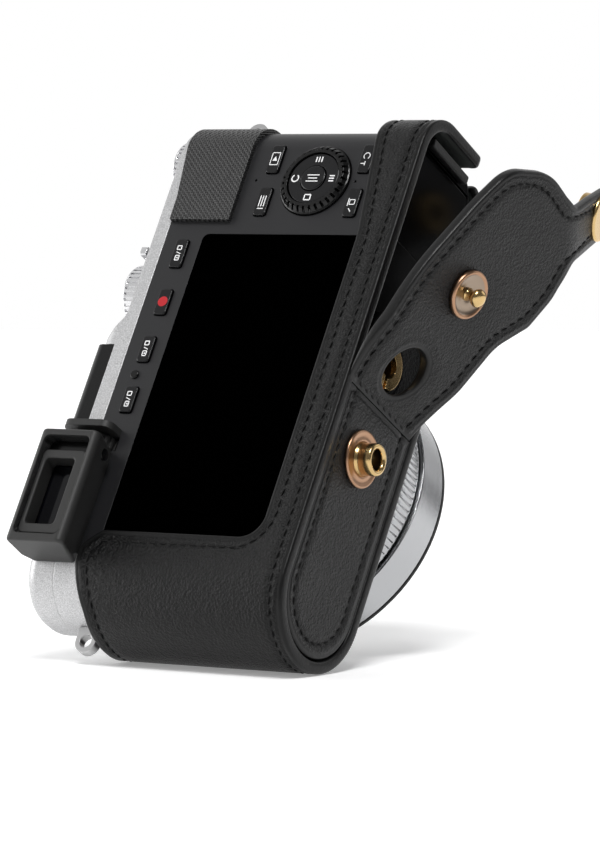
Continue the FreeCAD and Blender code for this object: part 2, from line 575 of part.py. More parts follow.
def make_insides():
    """What the camera must hold to work, as plain solids."""
    slab("main_board", box_corners("0 - 34.5", "0 - 19", "34", "24"), "0", "1.6",
         spot("0", "0 - 8", "0", FACING_BACK))
    slab("image_sensor", box_corners("lens_x - 15", "lens_z - 12", "lens_x + 15", "lens_z + 12"), "0", "2.4",
         spot("0", "0 - 5", "0", FACING_BACK))
    finder = [
        ("body_left + body_wall + 0.5", "body_back + body_wall + 0.5", "end_round_back - body_wall - 0.4"),
        ("0 - 35", "body_back + body_wall + 0.5", "0"), ("0 - 35", "body_front - body_wall - 0.5", "0"),
        ("body_left + body_wall + 0.5", "body_front - body_wall - 0.5", "end_round_front - body_wall - 0.4"),
    ]
    slab("finder_module", finder, "0 - 4", "38.4")
    slab("battery", box_corners("36.8", "0 - 8.6", "56.6", "6.6", "1.5"), "body_bottom + base_thick + 0.6",
         "39.6")
    socket = [("3.18", "0", "0"), ("4.5", "0", "0"), ("4.5", "1.5", "0"), ("7", "1.5", "0"),
              ("7", "7", "0"), ("0", "7", "0"), ("0", "6", "0"), ("3.18", "6", "0")]
    turned("tripod_socket", socket, spot("screw_x", "screw_y", "body_bottom"))
    lugs = new_body("strap_lugs")
    for face, sign in (("body_left", "-"), ("body_right", "+")):
        corners = [
            (f"{face} {sign} 0.05", "20.2", "0"), (f"{face} {sign} 5.9", "20.2", "2.55"),
            (f"{face} {sign} 5.9", "25.4", "2.55"), (f"{face} {sign} 0.05", "25.4", "0"),
        ]
        pad(lugs, corners, "3.6", "2.0", "XZ_Plane")
        pocket(lugs, [(f"{face} {sign} 3.3", "22.8", "1.45")], "3.6", "2.0", "XZ_Plane")


def make_battery_door():
    """A lid in the base that swings out on its own trunnions at the grip end."""
    body = new_body("battery_door")
    corners = box_corners("door_left", "door_back", "door_right", "door_front", "0.6")
    pad(body, corners, "body_bottom", "door_thick")
    sketch = new_sketch(body, "XZ_Plane", "0 - door_front - 1.1")
    circle(sketch, "door_pin_x", "door_pin_z", "door_pin_radius")
    trunnions = body.newObject("PartDesign::Pad", "battery_door_trunnions")
    trunnions.Profile = sketch
    trunnions.setExpression("Length", bound("door_front - door_back + 2.2"))
    doc.recompute()


# ---------------------------------------------------------------- leather case

def make_case_wrap():
    """One leather wall: back strip, rounded end, the front beside the lens, and the grip end."""
    body = new_body("case_wrap")
    outer = [
        ("case_left", "case_back", "case_end_round"), ("case_right", "case_back", "case_grip_round"),
        ("case_right", "case_front", "0"), ("case_left", "case_front", "case_end_round"),
    ]
    inner = [
        ("lining_left", "lining_back", "lining_end_round"),
        ("lining_right", "lining_back", "lining_grip_round"),
        ("lining_right", "lining_front", "0"), ("lining_left", "lining_front", "lining_end_round"),
    ]
    pad(body, outer, "case_bottom", "case_rim - case_bottom")
    pocket(body, [inner], "case_bottom - 1", "case_rim - case_bottom + 2")
    window = [
        ("window_left - 3.6", "case_rim + 9", "0"), ("window_left - 3.6", "case_rim", "0"),
        ("window_left", "case_rim - 4.5", "3"), ("window_left", "window_low", "5"),
        ("strip_step", "window_low", "30"), ("59.4", "strip_end_low", "30"),
        ("case_right + 9", "strip_end_low + 0.2", "0"), ("case_right + 9", "case_rim + 9", "0"),
    ]
    through = "case_front - case_back + 10"
    pocket(body, [window], "0 - case_front - 5", through, "XZ_Plane", True)
    rim = [
        ("window_left - 3.6", "case_rim + 9", "0"), ("window_left - 3.6", "case_rim", "0"),
        ("0 - 46", "case_rim", "12"), ("0 - 55", "19.9", "12"), ("case_left - 3", "18.8", "0"),
        ("case_left - 3", "case_rim + 9", "0"),
    ]
    pocket(body, [rim], "0 - case_front - 5", through, "XZ_Plane", True)
    lens = [
        ("0 - 40", "case_rim + 9", "0"), ("0 - 40", "front_sill", "29.9"),
        ("case_right + 9", "front_sill", "0"), ("case_right + 9", "case_rim + 9", "0"),
    ]
    pocket(body, [lens], "0 - case_front - 5", "case_front + 4", "XZ_Plane", True)
    corner = box_corners("26", "end_wall_front", "case_right + 5", "case_front + 5")
    pocket(body, [corner], "case_bottom - 1", "40")


def make_case_pieces():
    """The grip's front, the bottom panel, the tongue under the flap, and the strip across the end."""
    grip = [
        ("22", "lining_front", "0"), ("33.6", "lining_front", "6"), ("38.3", "grip_front + 0.4", "5"),
        ("52.7", "grip_front + 0.4", "6"), ("60.4", "8.2", "0"), ("62.1", "9.6", "0"),
        ("53.7", "grip_front + 2.6", "8"), ("37.2", "grip_front + 2.6", "7.2"),
        ("32.4", "case_front", "3.8"), ("22", "case_front", "0"),
    ]
    slab("case_front_grip", grip, "front_sill", "case_grip_high - front_sill")
    panel = [
        ("lining_left + 0.15", "lining_back + 0.15", "lining_end_round - 0.15"),
        ("hinge_x", "lining_back + 0.15", "0"), ("hinge_x", "lining_front - 0.15", "0"),
        ("lining_left + 0.15", "lining_front - 0.15", "lining_end_round - 0.15"),
    ]
    slab("case_base_panel", panel, "panel_out", "panel_in - panel_out", UPRIGHT,
         [("post_x", "post_y", "post_bore")])
    tongue = [
        ("hinge_x + 0.1", "0 - 13.5", "0"), ("20.6", "0 - 13.5", "7"), ("20.6", "9.9", "7"),
        ("hinge_x + 0.1", "9.9", "0"),
    ]
    slab("case_tongue", tongue, "0 - 28.8", "1.2", UPRIGHT, [("screw_x", "screw_y", "screw_head + 0.3")])
    strip = box_corners("58.2", "0 - 12.4", "60.2", "end_wall_front - 1.2", "0.4")
    slab("case_end_strip", strip, "0 - 28.6", "1.8")


def make_flap():
    """The flap with its lobe, and the tab that curls from it, drawn in their own flat frames."""
    swing = FreeCAD.Rotation(FreeCAD.Vector(0, 1, 0), FLAP_ANGLE)
    flap_place = spot("hinge_x", "0", "hinge_z", swing)
    outer = "flap_inner - flap_thick"
    corners = [
        ("flap_start", "0 - 17.6", "0"), ("10", "0 - 21.2", "20"), ("27", "0 - 21.2", "40"),
        ("56", "0 - 14.2", "9"), ("62.2", "0 - 3", "12"), ("61.4", "11.0", "0"),
        ("52.6", "19.2", "0"), ("43.6", "20.2", "8"), ("35.6", "18.8", "4"), ("27", "13.2", "8"),
        ("flap_start", "9.4", "0"),
    ]
    flap = slab("case_flap", corners, outer, "flap_thick", flap_place,
                [("flap_hole_s", "flap_hole_y", "flap_hole_radius"), ("stud_s", "stud_y", "1.6")])
    round_edges(flap, "0.6", at_height(value(outer)))
    stud = [
        ("0", "flap_inner", "0"), ("1.6", "flap_inner", "0"), ("1.6", outer, "0"),
        ("5.2", outer, "0"), ("5.2", f"{outer} - 1.1", "0.3"), ("4.3", f"{outer} - 0.9", "0"),
        ("3.6", f"{outer} - 0.45", "0.5"), ("1.2", f"{outer} - 0.45", "0"), ("1.2", f"{outer} - 1.9", "0"),
        ("2.0", f"{outer} - 2.5", "0.35"), ("1.7", f"{outer} - 4.1", "0.6"), ("0", f"{outer} - 4.3", "0"),
    ]
    turned("snap_stud", stud, flap_place.multiply(spot("stud_s", "stud_y", "0")))
    curl = FreeCAD.Rotation(FreeCAD.Vector(0, 1, 0), -TAB_RISE)
    turn = FreeCAD.Rotation(FreeCAD.Vector(0, 0, 1), TAB_TURN)
    tab_root = spot("tab_s", "tab_y", "flap_inner - flap_thick / 2", turn.multiply(curl))
    tab_place = flap_place.multiply(tab_root)
    tab = [
        ("2.1", "0 - tab_half", "0"), ("tab_long", "0 - tab_half + 0.6", "tab_half - 0.8"),
        ("tab_long", "tab_half - 0.6", "tab_half - 0.8"), ("2.1", "tab_half", "0"),
    ]
    slab("case_tab", tab, "0 - tab_thick / 2", "tab_thick", tab_place, [("tab_snap_s", "0", "2.3")])
    snap = [
        ("0", "0 - tab_thick / 2 - 1.0", "0"), ("5.4", "0 - tab_thick / 2 - 1.0", "0.5"),
        ("5.4", "0 - tab_thick / 2", "0"), ("2.3", "0 - tab_thick / 2", "0"), ("2.3", "tab_thick / 2", "0"),
        ("4.6", "tab_thick / 2", "0"), ("4.6", "tab_thick / 2 + 1.9", "0.4"),
        ("2.0", "tab_thick / 2 + 1.9", "0"), ("2.0", "0", "0"), ("0", "0", "0"),
    ]
    turned("tab_snap", snap, tab_place.multiply(spot("tab_snap_s", "0", "0")))
    front = [
        ("0", "0", "0"), ("4.6", "0", "0"), ("4.6", "0.7", "0.2"), ("1.7", "0.7", "0"),
        ("1.9", "2.6", "0.5"), ("0", "2.6", "0"),
    ]
    slant = FreeCAD.Rotation(FreeCAD.Vector(0, 0, 1), FreeCAD.Vector(0.774, 0.634, 0))
    turned("front_snap_stud", front, spot("57.9", "14.76", "0 - 13", slant))


def make_brass():
    """The socket post on the bottom panel and the slotted screw that holds the case on."""
    post = [
        ("post_bore", "post_end", "0"), ("post_radius", "post_end", "0.5"),
        ("post_radius", "panel_out - 0.5", "0"), ("post_flange", "panel_out - 0.5", "0.2"),
        ("post_flange", "panel_out", "0"), ("post_bore", "panel_out", "0"),
    ]
    turned("snap_post", post, spot("post_x", "post_y", "0"))
    head = "case_bottom + 0.1"
    screw = [
        ("screw_bore", head, "0"), ("screw_head", head, "0.3"), ("screw_head", "0 - 27.5", "0"),
        ("6.0", "0 - 27.5", "0"), ("6.0", "0 - 26.95", "0"), ("screw_shank", "0 - 26.95", "0"),
        ("screw_shank", "0 - 21.5", "0.4"), ("0", "0 - 21.5", "0"),
        ("0", f"{head} + screw_bore_deep", "0"), ("screw_bore", f"{head} + screw_bore_deep", "0"),
    ]
    body = turned("case_screw", screw, spot("screw_x", "screw_y", "0"))
    pocket(body, [box_corners("0 - 6", "0 - 0.55", "6", "0.55")], f"{head} - 1", "2")


# ---------------------------------------------------------------- stance and output

def stance_rotation():
    """Stands the object on its rounded end and leans it until the lens rim touches down."""
    forward = value("rim_front") - (value("case_back") + value("case_end_round"))
    upward = value("lens_x - rim_radius") - value("case_left + case_end_round")
    reach = math.hypot(forward, upward)
    lean = math.atan2(upward, forward) + math.asin(value("case_end_round") / reach)
    sine, cosine = math.sin(lean), math.cos(lean)
    return FreeCAD.Rotation(FreeCAD.Matrix(0, 0, -1, 0, sine, cosine, 0, 0, cosine, -sine, 0, 0, 0, 0, 0, 1))


def stand_up():
    """Places every sub-part, then centres the whole object over its lowest point."""
    stance = FreeCAD.Placement(FreeCAD.Vector(), stance_rotation())
    for body, placement in SUBPARTS:
        body.Placement = stance.multiply(placement)
    doc.recompute()
    whole = FreeCAD.BoundBox()
    for body, _ in SUBPARTS:
        whole.add(body.Shape.optimalBoundingBox(False))
    move = FreeCAD.Vector(-whole.Center.x, -whole.Center.y, -whole.ZMin)
    for body, _ in SUBPARTS:
        body.Placement = FreeCAD.Placement(move, FreeCAD.Rotation()).multiply(body.Placement)
    doc.recompute()
    print("stance", [round(a, 4) for a in stance.Rotation.Q], "move", [round(c, 4) for c in move],
          "size", round(whole.XLength, 2), round(whole.YLength, 2), round(whole.ZLength, 2))


def check_and_export():
    for item in doc.Objects:
        if "Invalid" in item.State or "Error" in item.State:
            raise ValueError(f"{item.Name} failed: {item.State}")
    os.makedirs("parts", exist_ok=True)
    for body, _ in SUBPARTS:
        shape = body.Shape
        if shape.isNull() or not shape.isValid() or shape.Volume < 0.1:
            raise ValueError(f"{body.Label} is not a sound solid")
        shape.exportStep(f"parts/{body.Label}.step")
    print(len(SUBPARTS), "sub-parts written")


for make in (make_rear_cover, make_front_cover, make_base_plate, make_top_plate, make_body_trim,
             make_screen, make_keys, make_control_dial, make_lens, make_eyepiece, make_top_controls,
             make_insides, make_battery_door, make_case_wrap, make_case_pieces, make_flap, make_brass):
    make()
stand_up()
check_and_export()
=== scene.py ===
import json
import math

import bmesh
import bpy
import numpy as np
from mathutils import Matrix, Vector
from mathutils.geometry import delaunay_2d_cdt


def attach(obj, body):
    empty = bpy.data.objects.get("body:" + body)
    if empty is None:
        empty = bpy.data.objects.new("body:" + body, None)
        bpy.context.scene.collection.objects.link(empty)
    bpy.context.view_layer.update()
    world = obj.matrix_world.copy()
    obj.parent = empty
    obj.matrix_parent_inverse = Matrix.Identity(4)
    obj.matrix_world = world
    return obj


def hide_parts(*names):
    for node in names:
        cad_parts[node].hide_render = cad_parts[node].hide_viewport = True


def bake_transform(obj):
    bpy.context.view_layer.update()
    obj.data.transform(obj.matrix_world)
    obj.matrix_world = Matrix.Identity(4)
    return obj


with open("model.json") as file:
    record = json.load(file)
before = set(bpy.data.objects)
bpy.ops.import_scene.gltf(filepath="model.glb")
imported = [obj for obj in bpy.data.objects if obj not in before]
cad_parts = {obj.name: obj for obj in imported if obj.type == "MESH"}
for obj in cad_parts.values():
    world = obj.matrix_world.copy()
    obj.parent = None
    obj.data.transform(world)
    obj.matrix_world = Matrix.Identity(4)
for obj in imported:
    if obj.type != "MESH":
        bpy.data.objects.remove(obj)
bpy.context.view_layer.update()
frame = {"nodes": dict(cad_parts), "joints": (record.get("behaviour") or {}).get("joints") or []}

# ---------------- the upright frame
# Everything below is drawn in the camera's own upright millimetres: +X towards the grip end, +Y
# towards the front, +Z towards the top plate. The record's flap joint gives the way to the row frame.

HINGE = np.array([-0.4, 0.0, -29.7])
flap_joint = next(j for j in frame["joints"] if j["name"] == "case_flap")
COS, SIN = flap_joint["axis"][1], -flap_joint["axis"][2]
LEAN = np.array([[0, 0, -1], [SIN, COS, 0], [COS, -SIN, 0]])
MOVE = np.array(flap_joint["pos_m"]) * 1000 - LEAN @ HINGE
FLAP_SWING = math.radians(19.0)
TAB_TURN, TAB_RISE = math.radians(47.0), math.radians(21.0)


def row(points):
    """Upright millimetres to row-frame metres."""
    return (np.asarray(points, float) @ LEAN.T + MOVE) / 1000


def flap_place(s, y, n):
    """Points of the flap's own flat frame in upright millimetres."""
    s, y, n = (np.asarray(v, float) for v in (s, y, n))
    c, k = math.cos(FLAP_SWING), math.sin(FLAP_SWING)
    return np.stack([HINGE[0] + s * c + n * k, y + 0 * s, HINGE[2] - s * k + n * c], -1)


def smooth(t):
    """An even ease from 0 to 1."""
    t = np.clip(t, 0, 1)
    return t * t * (3 - 2 * t)


# ---------------- materials

def ink(name, base, rough, metal=0.0, spec=0.5):
    """A plain material of one colour."""
    m = bpy.data.materials.new(name)
    m.use_nodes = True
    b = m.node_tree.nodes["Principled BSDF"]
    b.inputs["Base Color"].default_value = (*base, 1)
    b.inputs["Roughness"].default_value = rough
    b.inputs["Metallic"].default_value = metal
    b.inputs["Specular IOR Level"].default_value = spec
    return m


class Nodes:
    """Small helper that adds linked nodes to one material."""

    def __init__(self, material):
        self.tree = material.node_tree
        self.shader = self.tree.nodes["Principled BSDF"]
        self.coords = self.tree.nodes.new("ShaderNodeTexCoord").outputs["Object"]
        self.normal = None

    def add(self, kind, links=(), **settings):
        """A linked node; each setting is one of its properties, or else the value of an input."""
        node = self.tree.nodes.new("ShaderNode" + kind)
        for key, val in settings.items():
            if hasattr(node, key):
                setattr(node, key, val)
            else:
                node.inputs[key].default_value = val
        for socket, source in links:
            self.tree.links.new(source, node.inputs[socket])
        return node

    def noise(self, scale, detail=3.0, rough=0.5, vector=None):
        n = self.add("TexNoise", [("Vector", vector or self.coords)], Scale=scale, Detail=detail)
        n.inputs["Roughness"].default_value = rough
        return n.outputs["Fac"]

    def cells(self, scale):
        return self.add("TexVoronoi", [("Vector", self.coords)], feature="SMOOTH_F1",
                        Scale=scale).outputs["Distance"]

    def math(self, operation, a, b=None):
        """A math node; a and b are each a socket or a number."""
        node = self.tree.nodes.new("ShaderNodeMath")
        node.operation = operation
        for i, v in enumerate((a, b)):
            if v is None:
                continue
            if isinstance(v, (int, float)):
                node.inputs[i].default_value = v
            else:
                self.tree.links.new(v, node.inputs[i])
        return node.outputs[0]

    def attribute(self, name):
        return self.add("Attribute", attribute_name=name).outputs["Fac"]

    def bevel(self, radius):
        """Softens hard edges in the shading by a radius in metres."""
        node = self.add("Bevel", samples=6)
        node.inputs["Radius"].default_value = radius
        self.normal = node.outputs["Normal"]

    def bump(self, height, strength, distance):
        """Adds relief on top of whatever already shapes the normal; distance in metres."""
        node = self.tree.nodes.new("ShaderNodeBump")
        node.inputs["Strength"].default_value = strength
        node.inputs["Distance"].default_value = distance
        self.tree.links.new(height, node.inputs["Height"])
        if self.normal:
            self.tree.links.new(self.normal, node.inputs["Normal"])
        self.normal = node.outputs["Normal"]

    def ramp(self, value, stops):
        """A colour ramp; each stop is (position, grey level or colour)."""
        node = self.tree.nodes.new("ShaderNodeValToRGB")
        while len(node.color_ramp.elements) < len(stops):
            node.color_ramp.elements.new(0.5)
        for e, (at, colour) in zip(node.color_ramp.elements, stops):
            e.position = at
            e.color = (*colour, 1) if isinstance(colour, tuple) else (colour, colour, colour, 1)
        self.tree.links.new(value, node.inputs[0])
        return node.outputs["Color"]

    def mix(self, factor, a, b):
        """Linear mix of two numbers, each a socket or a number."""
        return self.math("ADD", self.math("MULTIPLY", self.math("SUBTRACT", 1.0, factor), a),
                         self.math("MULTIPLY", factor, b))

    def put(self, socket, source):
        self.tree.links.new(source, self.shader.inputs[socket])

    def close(self):
        """Hands the finished normal to the shader."""
        if self.normal:
            self.put("Normal", self.normal)


WRINKLES, PEBBLES, GRAIN = 620.0, 1900.0, 4200.0  # texture scales per metre, coarse to fine
PAINT_FROM, PAINT_TO = 0.9, 1.7  # millimetres from a piece's edge over which its smooth painted rim fades


def leather(name, base=0.0012, light=0.003, rough=0.28, grain=1.0, edge=True, spec=0.2):
    """Black grained leather; meshes from panel() carry distances to their edge for the painted rim."""
    m = ink(name, (base, base, base), rough, spec=spec)
    n = Nodes(m)
    wrinkle = n.noise(WRINKLES, 5.0, 0.62)
    pebble = n.cells(PEBBLES)
    fine = n.noise(GRAIN, 4.0, 0.65)
    height = n.math("ADD", n.math("MULTIPLY", pebble, 0.9 * grain), n.math("MULTIPLY", fine, 0.6 * grain))
    height = n.math("ADD", height, n.math("MULTIPLY", wrinkle, 0.9 * grain))
    tone = n.math("MULTIPLY", n.math("ADD", fine, wrinkle), 0.5)
    shine = n.mix(n.noise(70.0, 3.0), rough - 0.06, rough + 0.1)
    if edge:
        inside = n.add("MapRange", [("Value", n.attribute("edge"))], interpolation_type="SMOOTHSTEP")
        inside.inputs["From Min"].default_value = PAINT_FROM
        inside.inputs["From Max"].default_value = PAINT_TO
        inside = inside.outputs["Result"]
        height = n.math("MULTIPLY", height, n.mix(inside, 0.16, 1.0))
        tone = n.math("ADD", tone, n.math("MULTIPLY", n.math("SUBTRACT", 1.0, inside), 0.55))
        shine = n.mix(inside, 0.34, shine)
    n.put("Roughness", shine)
    n.put("Base Color", n.ramp(tone, [(0.25, base * 0.6), (0.62, light), (1.0, light * 2.2)]))
    n.bump(height, 0.95, 0.0003)
    n.close()
    return m


LEATHER = leather("leather_grained")
LEATHER_SMOOTH = leather("leather_smooth", 0.0014, 0.004, 0.32, 0.85, spec=0.25)
# A darker, duller copy of the same leather: painted shade for the tongue inside the case.
LEATHER_PAINTED_SHADE = leather("leather_shaded", 0.0004, 0.0012, 0.4, spec=0.08)
LEATHER_CAD = leather("leather_plain", edge=False)
THREAD = ink("thread_black", (0.0025, 0.0025, 0.0025), 0.6, spec=0.22)


def metal_paint(name, base, rough, speck=0.0, spec=0.5, bevel=0.00018, metal=0.0, scale=5200.0, flake=0.0,
                brushed=0.0):
    """Metal, paint or plastic: specks in relief, flakes in the colour, or rings turned about the lens."""
    m = ink(name, base, rough, metal, spec)
    n = Nodes(m)
    n.bevel(bevel)
    if flake:
        spots = n.noise(scale * 1.6, 2.0, 0.7)
        n.put("Base Color", n.ramp(spots, [(0.32, tuple(c * (1 - flake) for c in base)),
                                           (0.68, tuple(min(1, c * (1 + flake)) for c in base))]))
    if brushed:
        level = n.add("VectorMath", [(0, n.coords)], operation="DOT_PRODUCT")
        level.inputs[1].default_value = (0, COS, -SIN)
        place = n.add("CombineXYZ", [("X", level.outputs["Value"])])
        n.bump(n.noise(9000.0, 2.0, 0.6, place.outputs[0]), brushed, 0.00003)
    if speck:
        n.bump(n.noise(scale, 2.0), speck, 0.00006)
    n.close()
    return m


BODY_BLACK = metal_paint("paint_black", (0.009, 0.009, 0.0102), 0.42, 0.14, spec=0.4, bevel=0.0003)
SILVER = metal_paint("paint_silver", (0.52, 0.52, 0.525), 0.4, 0.6, metal=0.6, bevel=0.0004, scale=2600.0,
                     flake=0.3)
DIAL_SILVER = metal_paint("dial_silver", (0.72, 0.72, 0.73), 0.24, 0.05, metal=1.0)
LENS_SILVER = metal_paint("lens_silver", (0.44, 0.445, 0.455), 0.24, 0.04, metal=1.0, bevel=0.0002,
                          brushed=0.7)
LENS_BLACK = metal_paint("lens_black", (0.008, 0.008, 0.008), 0.36, 0.05, 0.3)
PLASTIC = metal_paint("plastic_black", (0.018, 0.018, 0.0175), 0.5, 0.5, 0.4, 0.00025, scale=3800.0)
GLOSS = metal_paint("gloss_black", (0.003, 0.003, 0.003), 0.2, 0.0, 0.3, 0.00012)
KEY_BLACK = metal_paint("key_black", (0.0035, 0.0035, 0.004), 0.24, 0.0, 0.32, 0.00022)
STEEL = metal_paint("steel", (0.55, 0.55, 0.55), 0.3, 0.05, metal=1.0)
BRASS = metal_paint("brass_gold", (0.60, 0.42, 0.19), 0.22, 0.03, metal=1.0, bevel=0.00012)
ROSE = metal_paint("brass_rose", (0.40, 0.235, 0.145), 0.3, 0.12, metal=1.0, bevel=0.0001, scale=1500.0)
BOWL = metal_paint("brass_bowl", (0.30, 0.235, 0.18), 0.28, 0.1, metal=1.0, bevel=0.0001)
# Near-black brass for the walls and floors of the bores: painted shade inside the hollows.
PAINTED_SHADE_BRASS = metal_paint("brass_painted_shade", (0.06, 0.04, 0.018), 0.3, 0.0, metal=1.0, bevel=0.0001)
SCREEN = ink("screen_black", (0.0001, 0.0001, 0.0001), 0.4, spec=0.0)
GLASS = ink("lens_glass", (0.002, 0.002, 0.003), 0.08, spec=0.25)
BOARD = ink("board_green", (0.02, 0.09, 0.05), 0.5)
CELL = ink("cell_grey", (0.05, 0.05, 0.055), 0.5)
WHITE_MARK = ink("mark_white", (0.82, 0.82, 0.82), 0.5)
BASE_BLACK = metal_paint("base_black", (0.0008, 0.0008, 0.001), 0.16, 0.05, spec=0.06)
RED_MARK = ink("mark_red", (0.42, 0.006, 0.012), 0.3)
SUEDE = ink("suede_lining", (0.05, 0.055, 0.052), 0.85, spec=0.2)


WEAVE = 2600.0  # radians per metre: each square is about 1.2 mm wide


def weave_rubber():
    """Rubber with an embossed weave of small slanted squares, with light and shade painted into its relief.
    """
    m = ink("grip_rubber", (0.007, 0.007, 0.0075), 0.38, spec=0.45)
    n = Nodes(m)
    n.bevel(0.0002)
    split = n.add("SeparateXYZ", [("Vector", n.coords)]).outputs
    wobble = n.math("MULTIPLY", n.noise(240.0, 2.0), 0.0009)
    across = n.math("ADD", n.math("MULTIPLY", split["Z"], 1.25), wobble)
    a = n.math("SINE", n.math("MULTIPLY", n.math("ADD", split["X"], across), WEAVE))
    b = n.math("SINE", n.math("MULTIPLY", n.math("SUBTRACT", split["X"], across), WEAVE))
    net = n.math("MULTIPLY", n.math("ABSOLUTE", a), n.math("ABSOLUTE", b))
    # The colour follows the relief: the raised lines are painted lighter and the sunken squares darker, as
    # painted highlight and shade.
    n.put("Base Color", n.ramp(net, [(0.0, 0.045), (0.16, 0.012), (1.0, 0.002)]))
    n.bump(n.math("SUBTRACT", 1.0, n.math("POWER", net, 0.5)), 1.0, 0.0003)
    n.close()
    return m


RUBBER = weave_rubber()

NODE_MATERIAL = {
    BODY_BLACK: ("rear_cover",),
    BASE_BLACK: ("base_plate", "battery_door"),
    SILVER: ("front_cover", "top_plate"),
    DIAL_SILVER: ("speed_dial", "exposure_dial", "shutter_button", "zoom_lever", "power_lever"),
    LENS_SILVER: ("control_ring", "aperture_ring", "lens_tube"),
    LENS_BLACK: ("lens_flange", "front_rim", "lens_barrel", "lens_nose"),
    PLASTIC: ("eyepiece_housing", "eyepiece_frame", "diopter_guard", "diopter_wheel"),
    GLOSS: ("shoe_panel", "control_dial", "eye_sensor", "eyepiece_screw"),
    KEY_BLACK: ("navigation_pad", "center_button", "play_button", "menu_button", "focus_button",
                "delete_button", "drive_button", "record_button", "quick_button", "display_button"),
    RUBBER: ("thumb_grip", "front_grip"),
    SCREEN: ("lcd_glass",),
    GLASS: ("front_element", "eyepiece_glass"),
    STEEL: ("hot_shoe", "strap_lugs", "tripod_socket", "lcd_panel", "finder_module"),
    BRASS: ("snap_post", "case_screw", "snap_stud", "tab_snap", "front_snap_stud"),
    LEATHER_CAD: ("case_wrap", "case_front_grip", "case_base_panel", "case_tongue", "case_end_strip",
                  "case_flap", "case_tab"),
    BOARD: ("main_board",),
    CELL: ("battery", "image_sensor"),
}
for material, names in NODE_MATERIAL.items():
    for name in names:
        if name in frame["nodes"]:
            node = frame["nodes"][name]
            node.data.materials.clear()
            node.data.materials.append(material)

# ---------------- outlines and panels

def rounded(corners, step=0.6):
    """A closed polyline through corners (x, y, rounding)."""
    pts = [np.array(c[:2], float) for c in corners]
    out = []
    count = len(pts)
    for i, (x, y, r) in enumerate(corners):
        p, a, b = pts[i], pts[i - 1], pts[(i + 1) % count]
        u, v = (a - p) / np.linalg.norm(a - p), (b - p) / np.linalg.norm(b - p)
        half = math.acos(max(-1, min(1, float(u @ v)))) / 2
        if r <= 0 or abs(math.pi / 2 - half) < 1e-4:
            out.append(p)
            continue
        reach = r / math.tan(half)
        start, stop = p + u * reach, p + v * reach
        way = (u + v) / np.linalg.norm(u + v)
        centre = p + way * math.hypot(r, reach)
        a0 = math.atan2(*(start - centre)[::-1])
        a1 = math.atan2(*(stop - centre)[::-1])
        d = (a1 - a0 + math.pi) % (2 * math.pi) - math.pi
        n = max(3, int(abs(d) * r / step) + 2)
        out += [centre + r * np.array([math.cos(a0 + d * t), math.sin(a0 + d * t)])
                for t in np.linspace(0, 1, n)]
    return resample(np.array(out), step)


def resample(loop, step):
    """Points along a closed line at even spacing, keeping its corners."""
    out = []
    for a, b in zip(loop, np.roll(loop, -1, 0)):
        length = np.linalg.norm(b - a)
        n = max(1, int(round(length / step)))
        if length > 1e-6:
            out += [a + (b - a) * k / n for k in range(n)]
    return np.array(out)


def area(loop):
    """Enclosed area, positive for a counter-clockwise loop."""
    x, y = loop[:, 0], loop[:, 1]
    return 0.5 * float(np.sum(x * np.roll(y, -1) - np.roll(x, -1) * y))


def inward(loop):
    """Unit normals that point into a counter-clockwise loop."""
    d = np.roll(loop, -1, 0) - np.roll(loop, 1, 0)
    d /= np.linalg.norm(d, axis=1)[:, None] + 1e-12
    return np.stack([-d[:, 1], d[:, 0]], 1)


def distance(points, line, closed=True):
    """Distance from each point to a polyline."""
    a = line if closed else line[:-1]
    b = np.roll(line, -1, 0) if closed else line[1:]
    ab = b - a
    best = np.full(len(points), 1e9)
    for lo in range(0, len(points), 1500):
        p = points[lo:lo + 1500, None, :]
        t = np.clip(((p - a) * ab).sum(-1) / ((ab * ab).sum(-1) + 1e-12), 0, 1)
        q = a + ab * t[..., None]
        best[lo:lo + 1500] = np.sqrt(((p - q) ** 2).sum(-1)).min(1)
    return best


def within(points, loop):
    """Which points lie inside a closed loop."""
    x, y = points[:, 0], points[:, 1]
    inside = np.zeros(len(points), bool)
    for (x1, y1), (x2, y2) in zip(loop, np.roll(loop, -1, 0)):
        if y1 == y2:
            continue
        crosses = (y1 > y) != (y2 > y)
        inside ^= crosses & (x < (x2 - x1) * (y - y1) / (y2 - y1) + x1)
    return inside


def offset(loop, d):
    """The loop moved inward by d, without the crossings that tight corners would make."""
    moved = loop + inward(loop) * d
    keep = distance(moved, loop) > abs(d) * 0.985 - 1e-6
    return moved[keep]


def make_mesh(name, verts, faces, material, attributes=None, flat=False):
    """A mesh object from row-frame points; attributes are numbers held per point."""
    mesh = bpy.data.meshes.new(name)
    mesh.from_pydata([tuple(v) for v in verts], [], [tuple(int(i) for i in f) for f in faces])
    mesh.materials.append(material)
    for key, values in (attributes or {}).items():
        mesh.attributes.new(key, "FLOAT", "POINT").data.foreach_set("value", np.asarray(values, np.float32))
    obj = bpy.data.objects.new(name, mesh)
    bpy.context.scene.collection.objects.link(obj)
    bm = bmesh.new()
    bm.from_mesh(mesh)
    bmesh.ops.recalc_face_normals(bm, faces=bm.faces)
    bm.to_mesh(mesh)
    bm.free()
    if not flat:
        mesh.shade_smooth()
    return obj


GROOVE_DEEP, GROOVE_WIDE = 0.30, 0.55  # the stitched groove, in millimetres
CREASE_DEEP, CREASE_WIDE = 0.16, 0.28
SQUARE_CUT = 0.85  # share of the rounded lip that a square-cut edge loses
EDGE_FULL = 0.55  # below 1 makes the edge's section squarer than a circle
EDGE_STEPS = (80, 66, 50, 33, 16, 0, -16, -33, -50, -66, -80)  # degrees round the edge's section


